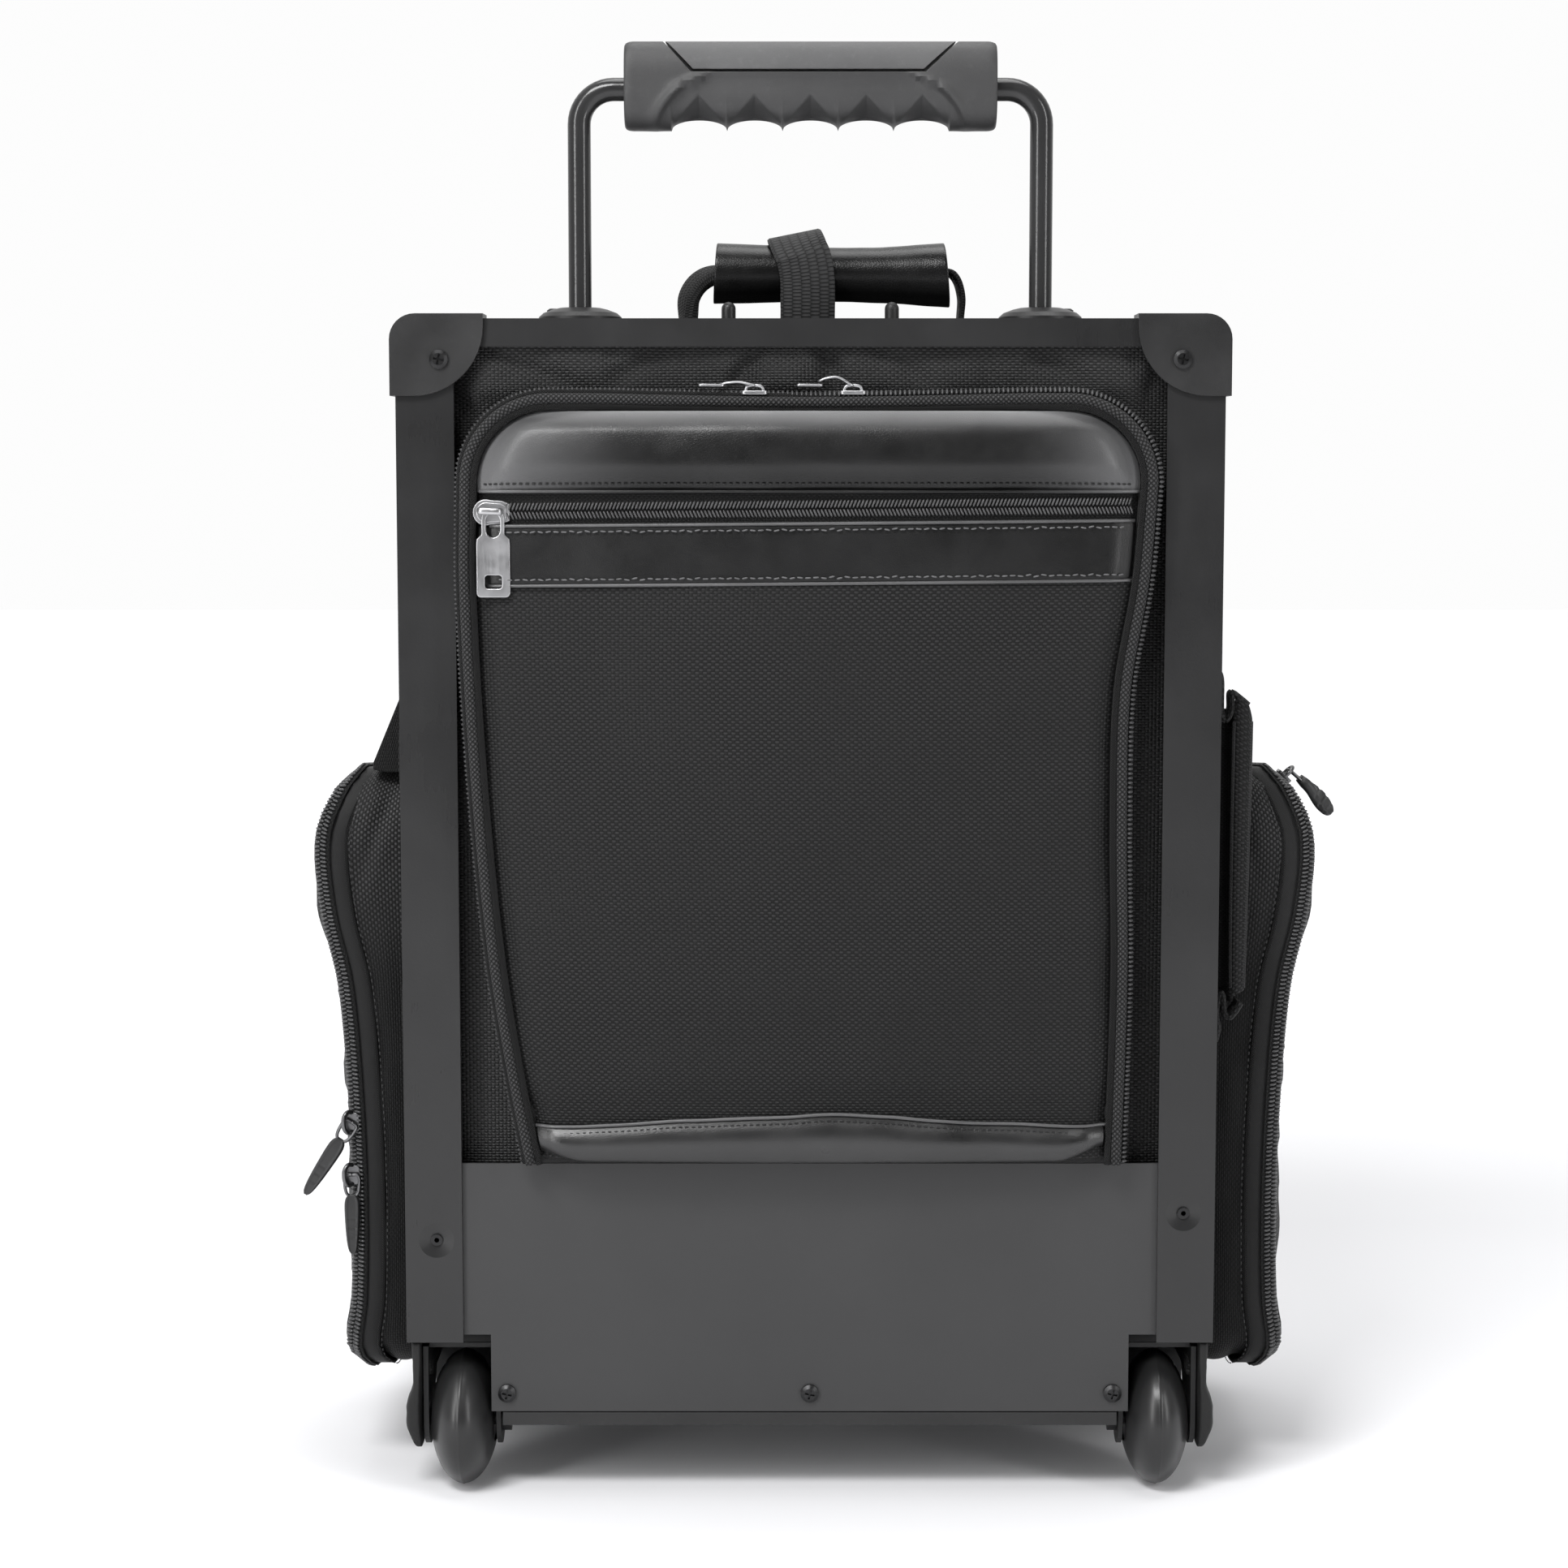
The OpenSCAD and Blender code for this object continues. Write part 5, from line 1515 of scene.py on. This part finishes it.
def carry_sleeve():
    """The leather sleeve, rolled round the webbing and sewn underneath."""
    x0, x1 = CARRY_LO.x, CARRY_HI.x
    radius = [(0, 11.3), (0.25, 11.0), (0.45, 10.2), (0.65, 10.4), (0.85, 11.5), (1, 12.2)]

    def sleeve(u, v):
        r, a = follow(radius, u), 2 * math.pi * v
        seam = bell(((v - 0.72 + 0.5) % 1) - 0.5, 0.03)
        flat = 1 + 0.05 * math.cos(2 * a)
        r = r * flat + 0.8 * seam + folds((lerp(x0, x1, u), math.cos(a) * 9, math.sin(a) * 9), 26, 0.4)
        slant = 1.6 * math.sin(a) * ease((u - 0.9) / 0.1) - 1.0 * math.sin(a) * ease((0.08 - u) / 0.08)
        z = CARRY_Z + 0.2 - 0.8 * (u - 0.5) + 1.2 * (u - 0.5) ** 2 * (1 if math.sin(a) > 0 else -1)
        return lerp(x0, x1, u) - slant * 0.8, CARRY_Y + r * math.cos(a), z + r * math.sin(a)
    tube = grid("carry_sleeve", 80, 64, sleeve)
    merge(tube, 0.01)
    thicken(tube, 1.9, 0.5, -1)
    dress(tube, sleeve_leather, "carry_handle", "leather", "carry_grip")
    bottom = [Vector(sleeve(k / 40, 0.72)) for k in range(1, 40)]
    rows = stitches([p + Vector((0, -0.3, 0.9)) for p in bottom], Vector((0, -0.6, -0.8)), pitch=3.2,
                    length=2.0, thick=0.6)
    dress(pegs("carry_sleeve_stitches", rows), thread_black, "carry_handle", "leather")


def carry_loops():
    """Webbing from both ends of the sleeve down to the top."""
    base = CARRY_BASE
    left = smooth_path([(-22, CARRY_Y, CARRY_Z), (-40, CARRY_Y, CARRY_Z), (-48.5, CARRY_Y, CARRY_Z - 3),
                        (-53.5, CARRY_Y, CARRY_Z - 10), (-54, CARRY_Y, CARRY_Z - 19),
                        (-54, CARRY_Y, base)], 8)
    right = smooth_path([(45, CARRY_Y, CARRY_Z + 1), (60, CARRY_Y, CARRY_Z + 1), (65, CARRY_Y, CARRY_Z - 2),
                         (67.4, CARRY_Y, CARRY_Z - 10), (67, CARRY_Y, CARRY_Z - 19),
                         (66.3, CARRY_Y, base)], 8)
    for name, path, turn, thick in (("carry_loop_left", left, 34, 6.4),
                                    ("carry_loop_right", right, 3, 2.6)):
        loop = sweep(name, path, strap_section(15, thick),
                     [Vector((math.copysign(1, path[-1].x), 0, 0.5))] * len(path),
                     twist=lambda t, turn=turn: turn * hump(t))
        loop.data.materials.append(loop_web)
        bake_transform(loop)
        if path is left:
            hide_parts("carry_webbing")


def wrap_strap():
    """The wide strap from the top's back edge, wrapped once round the sleeve."""
    base, r = CARRY_BASE, 14.0
    front, skew = CARRY_Y - r - 1.2, -6.0
    path = [(0, front + 5.5, base), (0, front + 1.5, base + 8), (0, front, CARRY_Z - 4)]
    path += [(skew * math.sin(math.radians(a)), CARRY_Y - (r + 1) * math.cos(math.radians(a)),
              CARRY_Z + 2 + (r + 1.0) * math.sin(math.radians(a))) for a in range(15, 181, 15)]
    path += [(0, CARRY_Y + r - 1.5, CARRY_Z - 8), (0, CARRY_Y + 5, CARRY_Z - 14),
             (0, CARRY_Y - 6, CARRY_Z - 13.4),
             (0, CARRY_Y - 11, CARRY_Z - 9)]
    path = [Vector(p) + X * -1.0 for p in smooth_path(path, 4)]
    middle = Vector((0, CARRY_Y, CARRY_Z))
    up = [(Vector((0, p.y, p.z)) - middle).normalized() - X * 0.2 * ease((p.z - CARRY_Z - 6) / 8)
          for p in path]
    strap = sweep("wrap_strap_webbing", path, strap_section(24, 1.9), up)
    strap.data.materials.append(strap_web)
    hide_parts("wrap_strap")
    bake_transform(strap)


# ---------------------------------------------------------------- zip sliders and pulls

def pocket_zip_hardware():
    """The big slider of the pocket's zip, with its flat pull."""
    lo, hi = cad("pocket_slider")
    cx, cz, back = (lo.x + hi.x) / 2, (lo.z + hi.z) / 2, hi.y

    def flat(a, b, h):
        return cx + a, back - h, cz + b
    head = arc_points((-3.2, 0.4), 5.6, 70, 290, 14) + [(3.6, -4.6), (7.0, -3.4), (7.0, 4.2), (3.6, 5.4)]
    lower = plate("a", head, [], 0.0, 1.7, flat, 0.5)
    dome = plate("b", [(a * 0.8 - 0.2, b * 0.8) for a, b in head], [], 1.6, 2.5, flat, 0.5)
    bridge = wire("c", [(cx - 6.2, back - 1.8, cz + 1.0), (cx - 5.4, back - 4.3, cz + 1.0),
                        (cx - 1.4, back - 4.7, cz + 0.9),
                        (cx + 2.8, back - 4.3, cz + 0.8), (cx + 3.8, back - 1.8, cz + 0.8)], 0.85)
    for v in bridge.data.vertices:
        v.co.z = (cz + 0.9) * MM + (v.co.z - (cz + 0.9) * MM) * 1.9
    dress(join("pocket_zip_slider_body", [lower, dome, bridge]), nickel, "pocket_zip_slider", "nickel",
          "pocket_slider")

    lo, hi = cad("pocket_pull")
    px, pz, depth = (lo.x + hi.x) / 2, hi.z, (lo.y + hi.y) / 2

    def hang(a, b, h):
        return px + a, depth - h, pz + b
    outline = ([(-5.0, -3.6), (-5.0, -9.8), (-7.0, -11.8), (-7.2, -13.5)]
               + arc_points((-5.2, -34.6), 2.0, 180, 270, 5)
               + arc_points((5.2, -34.6), 2.0, 270, 360, 5)
               + [(7.2, -13.5), (7.0, -11.8), (5.0, -9.8), (5.0, -3.6)]
               + arc_points((0, -3.4), 5.0, 20, 160, 10))
    slot = rounded_box(-3.6, 3.6, -32.8, -27.2, 1.2)
    neck = arc_points((0, -3.8), 3.0, 0, 180, 10) + arc_points((0, -8.0), 3.0, 180, 360, 10)
    blade = plate("pocket_zip_pull_plate", outline, [slot[::-1], neck[::-1]], -1.0, 1.0, hang, 0.55)
    dress(blade, nickel, "pocket_zip_pull", "nickel", "pocket_pull")


def door_zip_hardware():
    """Two flat sliders on the door's top edge, with thin wire pulls that lie along it."""
    for tag, tall in (("left", 0.0), ("right", 1.0)):
        lo, hi = cad("door_slider_" + tag)
        cx, cy, cz = (lo.x + hi.x) / 2, (lo.y + hi.y) / 2, lo.z

        def top(a, b, h):
            return cx + a, cy + b, cz + h
        body = plate("a", rounded_box(-5.6, 5.6, -3.9, 3.9, 1.6), [], -1.0, 0.8, top, 0.4)
        bridge = wire("b", [(cx - 3.8, cy - 1.5, cz + 0.6), (cx - 3.0, cy - 1.5, cz + 2.5),
                            (cx, cy - 1.5, cz + 3.0),
                            (cx + 3.0, cy - 1.5, cz + 2.5), (cx + 3.8, cy - 1.5, cz + 0.6)], 0.7)
        dress(join("door_zip_slider_body_" + tag, [body, bridge]), nickel, "door_zip_slider_" + tag,
              "nickel",
              "door_slider_" + tag)
        lo, hi = cad("door_pull_" + tag)
        left, right, y, z = lo.x, hi.x, (lo.y + hi.y) / 2, (lo.z + hi.z) / 2
        lift = 2.0 * tall
        wire_y = 2.6
        loop = [(right - 0.6, y, z), (right - 1.4, y - wire_y, z + 0.2),
                (right - 7, y - wire_y, z + 1.4 + lift),
                (left + 13, y - wire_y, z + 1.2 + lift),
                (left + 10, y - wire_y * 0.6, z + 0.8 + lift * 0.7),
                (left + 9.4, y, z + 0.7 + lift * 0.7), (left + 10, y + wire_y * 0.6, z + 0.8 + lift * 0.7),
                (left + 13, y + wire_y, z + 1.2 + lift), (right - 7, y + wire_y, z + 1.4 + lift),
                (right - 1.4, y + wire_y, z + 0.2), (right - 0.6, y, z)]
        ring = wire("a", loop, 0.55, 5)

        def lay(a, b, h):
            return left + a, y + b, z + h + 0.2 * (1 - a / 14)
        blade = plate("b", rounded_box(0, 11.2, -3.4, 3.4, 1.4),
                      [rounded_box(2.2, 8.6, -1.8, 1.8, 0.8)[::-1]], -0.5, 0.6, lay, 0.3)
        dress(join("door_zip_pull_wire_" + tag, [ring, blade]), nickel, "door_zip_pull_" + tag, "nickel",
              "door_pull_" + tag)


def rubber_blade(name, length, width, place):
    """A moulded rubber pull: broad shoulders at the ring, a ridge down its middle and a blunt point."""
    widths = [(0, 0.5), (0.07, 0.9), (0.2, 1.05), (0.6, 0.92), (0.85, 0.72), (0.96, 0.5), (1, 0.25)]
    heights = [(0, 1.1), (0.2, 1.5), (0.85, 1.35), (1, 0.6)]

    def point(t, v):
        w = width / 2 * follow(widths, t)
        h = follow(heights, t)
        a = 2 * math.pi * v
        c, s = math.cos(a), math.sin(a)
        across = signed_power(c, 0.6) * w
        deep = signed_power(s, 0.7) * h
        deep += (0.55 if s > 0 else 0.0) * bell(abs(c) - 0.62, 0.16)
        groove = 0.35 * bell(t * length % 4.2 - 2.1, 0.7) * ease((t - 0.35) * 9) * ease((0.9 - t) * 9)
        deep -= groove if s > 0.3 else 0.0
        return place(across, -t * length, deep)
    blade = closed_grid(name, 60, 32, point)
    shade_smooth(blade)
    return blade


def wire_link(put, half, tip):
    """The wire link of a rubber pull: a loop from the pivot to its tip, given by one half."""
    route = [(0, 0.4)] + half + [(0, tip)] + [(-a, b) for a, b in reversed(half)] + [(0, 0.4)]
    return wire("a", [put(a, b, 0) for a, b in route], 0.75, 5)


def dress_pair(name, ring, blade, body, node):
    """A wire link and the rubber blade on it: two pieces of one body that stand for one CAD node."""
    ring.name, blade.name = name + "_link", name + "_blade"
    ring.data.materials.append(gunmetal)
    blade.data.materials.append(pull_rubber)
    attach(ring, body)
    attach(blade, body)
    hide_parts(node)


def left_zip_hardware():
    """The left side pocket's two dark sliders, with wire links and rubber pulls."""
    for tag, tilt_deg, length, width in (("upper", 33, 30, 6.8), ("lower", 0, 27, 6.8)):
        lo, hi = cad("left_slider_" + tag)
        cx, cz, back = (lo.x + hi.x) / 2, (lo.z + hi.z) / 2, hi.y
        shoe = plate("a", rounded_box(-3.4, 3.4, -4.4, 4.4, 1.6), [], 0.2, 1.7,
                     lambda a, b, h: (cx + a, back - h, cz + b), 0.45)
        arch = wire("b", [(cx, back - 1.4, cz + 4.6), (cx - 1.6, back - 3.8, cz + 5.0),
                          (cx - 3.0, back - 5.3, cz + 2.6),
                          (cx - 3.0, back - 5.3, cz - 1.6), (cx - 1.6, back - 3.8, cz - 4.2),
                          (cx, back - 1.4, cz - 4.0)], 1.0)
        dress(join("side_zip_slider_left_" + tag, [shoe, arch]), gunmetal, "left_zip_slider_" + tag,
              "dark_metal",
              "left_slider_" + tag)
        turn = math.radians(tilt_deg)
        down = Vector((-math.sin(turn), 0, -math.cos(turn)))
        side = Vector((math.cos(turn), 0, -math.sin(turn)))
        pivot = Vector((cx, cad("left_pull_" + tag)[0].y + 1.5, cz))

        def put(across, along, deep):
            return pivot + side * across - down * along - Y * deep
        ring = wire_link(put, [(2.9, 0.0), (3.3, -4.0), (2.4, -8.2)], -9.6)
        blade = rubber_blade("b", length, width, lambda a, b, d: put(a, b - 8.6, d))
        dress_pair("side_zip_pull_left_" + tag, ring, blade, "left_zip_pull_" + tag, "left_pull_" + tag)


def right_zip_hardware():
    """The right side pocket's slider on the slope of its rim, with a pull that curls over."""
    lo, hi = cad("right_slider")
    centre = (lo + hi) / 2
    slope, normal = Vector((1, 0, -1)).normalized(), Vector((1, 0, 1)).normalized()
    base = centre - normal * 3.6

    def on_slope(a, b, h):
        return base + slope * a + Y * b + normal * h
    shoe = plate("a", rounded_box(-3.6, 3.6, -4.8, 4.8, 1.6), [], 0.0, 1.6, on_slope, 0.45)
    arch = wire("b", [on_slope(0, -3.6, 1.2), on_slope(0, -3.4, 4.2), on_slope(0, -1.2, 6.0),
                      on_slope(0, 1.4, 6.0),
                      on_slope(0, 3.6, 4.2), on_slope(0, 3.8, 1.2)], 1.0)
    dress(join("side_zip_slider_right", [shoe, arch]), gunmetal, "right_zip_slider", "dark_metal",
          "right_slider")
    pivot = Vector((217.65, centre.y, 317.15))   # on the axis that the CAD pull turns about

    def lying(across, along, deep):
        far = -along
        curl = ease((far - 9) / 16)
        spin = math.radians(lerp(0, 62, curl))
        flat, raised = Y * math.cos(spin) + normal * math.sin(spin), normal * math.cos(spin) - Y * math.sin(spin)
        out = flat * across + raised * deep
        return pivot + slope * far + out + normal * (0.6 * math.sin(far / 7))
    ring = wire_link(lying, [(2.6, 0), (3.0, -4), (2.2, -8)], -9.4)
    blade = rubber_blade("b", 22, 8.8, lambda a, b, d: lying(a, b - 5.6, d * 1.5))
    dress_pair("side_zip_pull_right", ring, blade, "right_zip_pull", "right_pull")


# ---------------------------------------------------------------- stage

def studio():
    """Pale floor, soft lights and the camera at the trolley side."""
    reach, level = 9000, -0.3
    corners = [(-reach, -reach), (reach, -reach), (reach, reach), (-reach, reach)]
    floor = make("floor", [(x, y, level) for x, y in corners], [[0, 1, 2, 3]])
    look = Shader("Pale_floor", Roughness=0.85, Specular_IOR_Level=0.2)
    look.colour(look.mix(look.noise(look.place(False), 400, 2), 0.88, 0.92))
    look.bsdf.inputs["Emission Color"].default_value = (1, 1, 1, 1)
    glow = look.ramp(look.split(look.place(False))[1], 0.0, 0.6, 400, 2200)
    look.tree.links.new(glow, look.bsdf.inputs["Emission Strength"])
    floor.data.materials.append(look.material)
    scene = bpy.context.scene
    scene.view_settings.view_transform = "Standard"
    world = scene.world or bpy.data.worlds.new("World")
    scene.world = world
    world.use_nodes = True
    tree = world.node_tree
    # the world is dimmer on the camera's side, so that dark surfaces keep their contrast
    coords, parts = tree.nodes.new("ShaderNodeTexCoord"), tree.nodes.new("ShaderNodeSeparateXYZ")
    band = tree.nodes.new("ShaderNodeMapRange")
    for socket, value in (("From Min", -0.4), ("From Max", 0.8), ("To Min", 0.12), ("To Max", 0.98)):
        band.inputs[socket].default_value = value
    tree.links.new(coords.outputs["Generated"], parts.inputs[0])
    tree.links.new(parts.outputs[1], band.inputs["Value"])
    tree.links.new(band.outputs[0], tree.nodes["Background"].inputs["Strength"])
    tree.nodes["Background"].inputs["Color"].default_value = (1, 1, 1, 1)
    lights = [                             # name, place, target, width and height in metres, watts
        ("key_light", (-0.6, -1.25, 1.8), (0, 0, 0.36), 0.9, 0.5, 30),
        ("left_strip", (-1.2, -1.3, 0.8), (0, -0.1, 0.4), 0.35, 1.4, 15),
        ("right_strip", (1.35, -1.2, 0.8), (0, -0.1, 0.4), 0.3, 1.4, 11),
        ("top_light", (0.1, 0.1, 2.3), (0, 0, 0.4), 1.5, 1.2, 24),
    ]
    for name, spot, target, wide, tall, power in lights:
        data = bpy.data.lights.new(name, "AREA")
        data.shape, data.size, data.size_y, data.energy = "RECTANGLE", wide, tall, power
        lamp = put_in_scene(name, data)
        lamp.location = spot
        lamp.rotation_euler = (Vector(target) - Vector(spot)).to_track_quat("-Z", "Y").to_euler()
    camera = put_in_scene("camera", bpy.data.cameras.new("camera"))
    camera.data.lens, camera.data.sensor_width = 71.8, 36
    camera.location = (-0.0114, BACK * MM - 1.35, 0.4507)
    camera.rotation_euler = (math.radians(90 - 5.66), 0, 0)
    scene.camera = camera


studio()
dress_cad()
door_panels()
door_rim()
door_seams()
back_gusset()
back_panel()
bag_body()
linings()
lid()
top_strip()
lid_hinge()
front_pocket()
for s, tag in SIDES:
    side_pocket(s, tag, tag + "_pocket_door")
for s, tag in SIDES:
    pocket_hinge(s, tag)
left_flap()
torch_sleeve()
for s, tag in SIDES:
    wheel(tag)
for s, tag in SIDES:
    wheel_guard(tag, s)
trolley_grip()
carry_sleeve()
carry_loops()
wrap_strap()
pocket_zip_hardware()
door_zip_hardware()
left_zip_hardware()
right_zip_hardware()
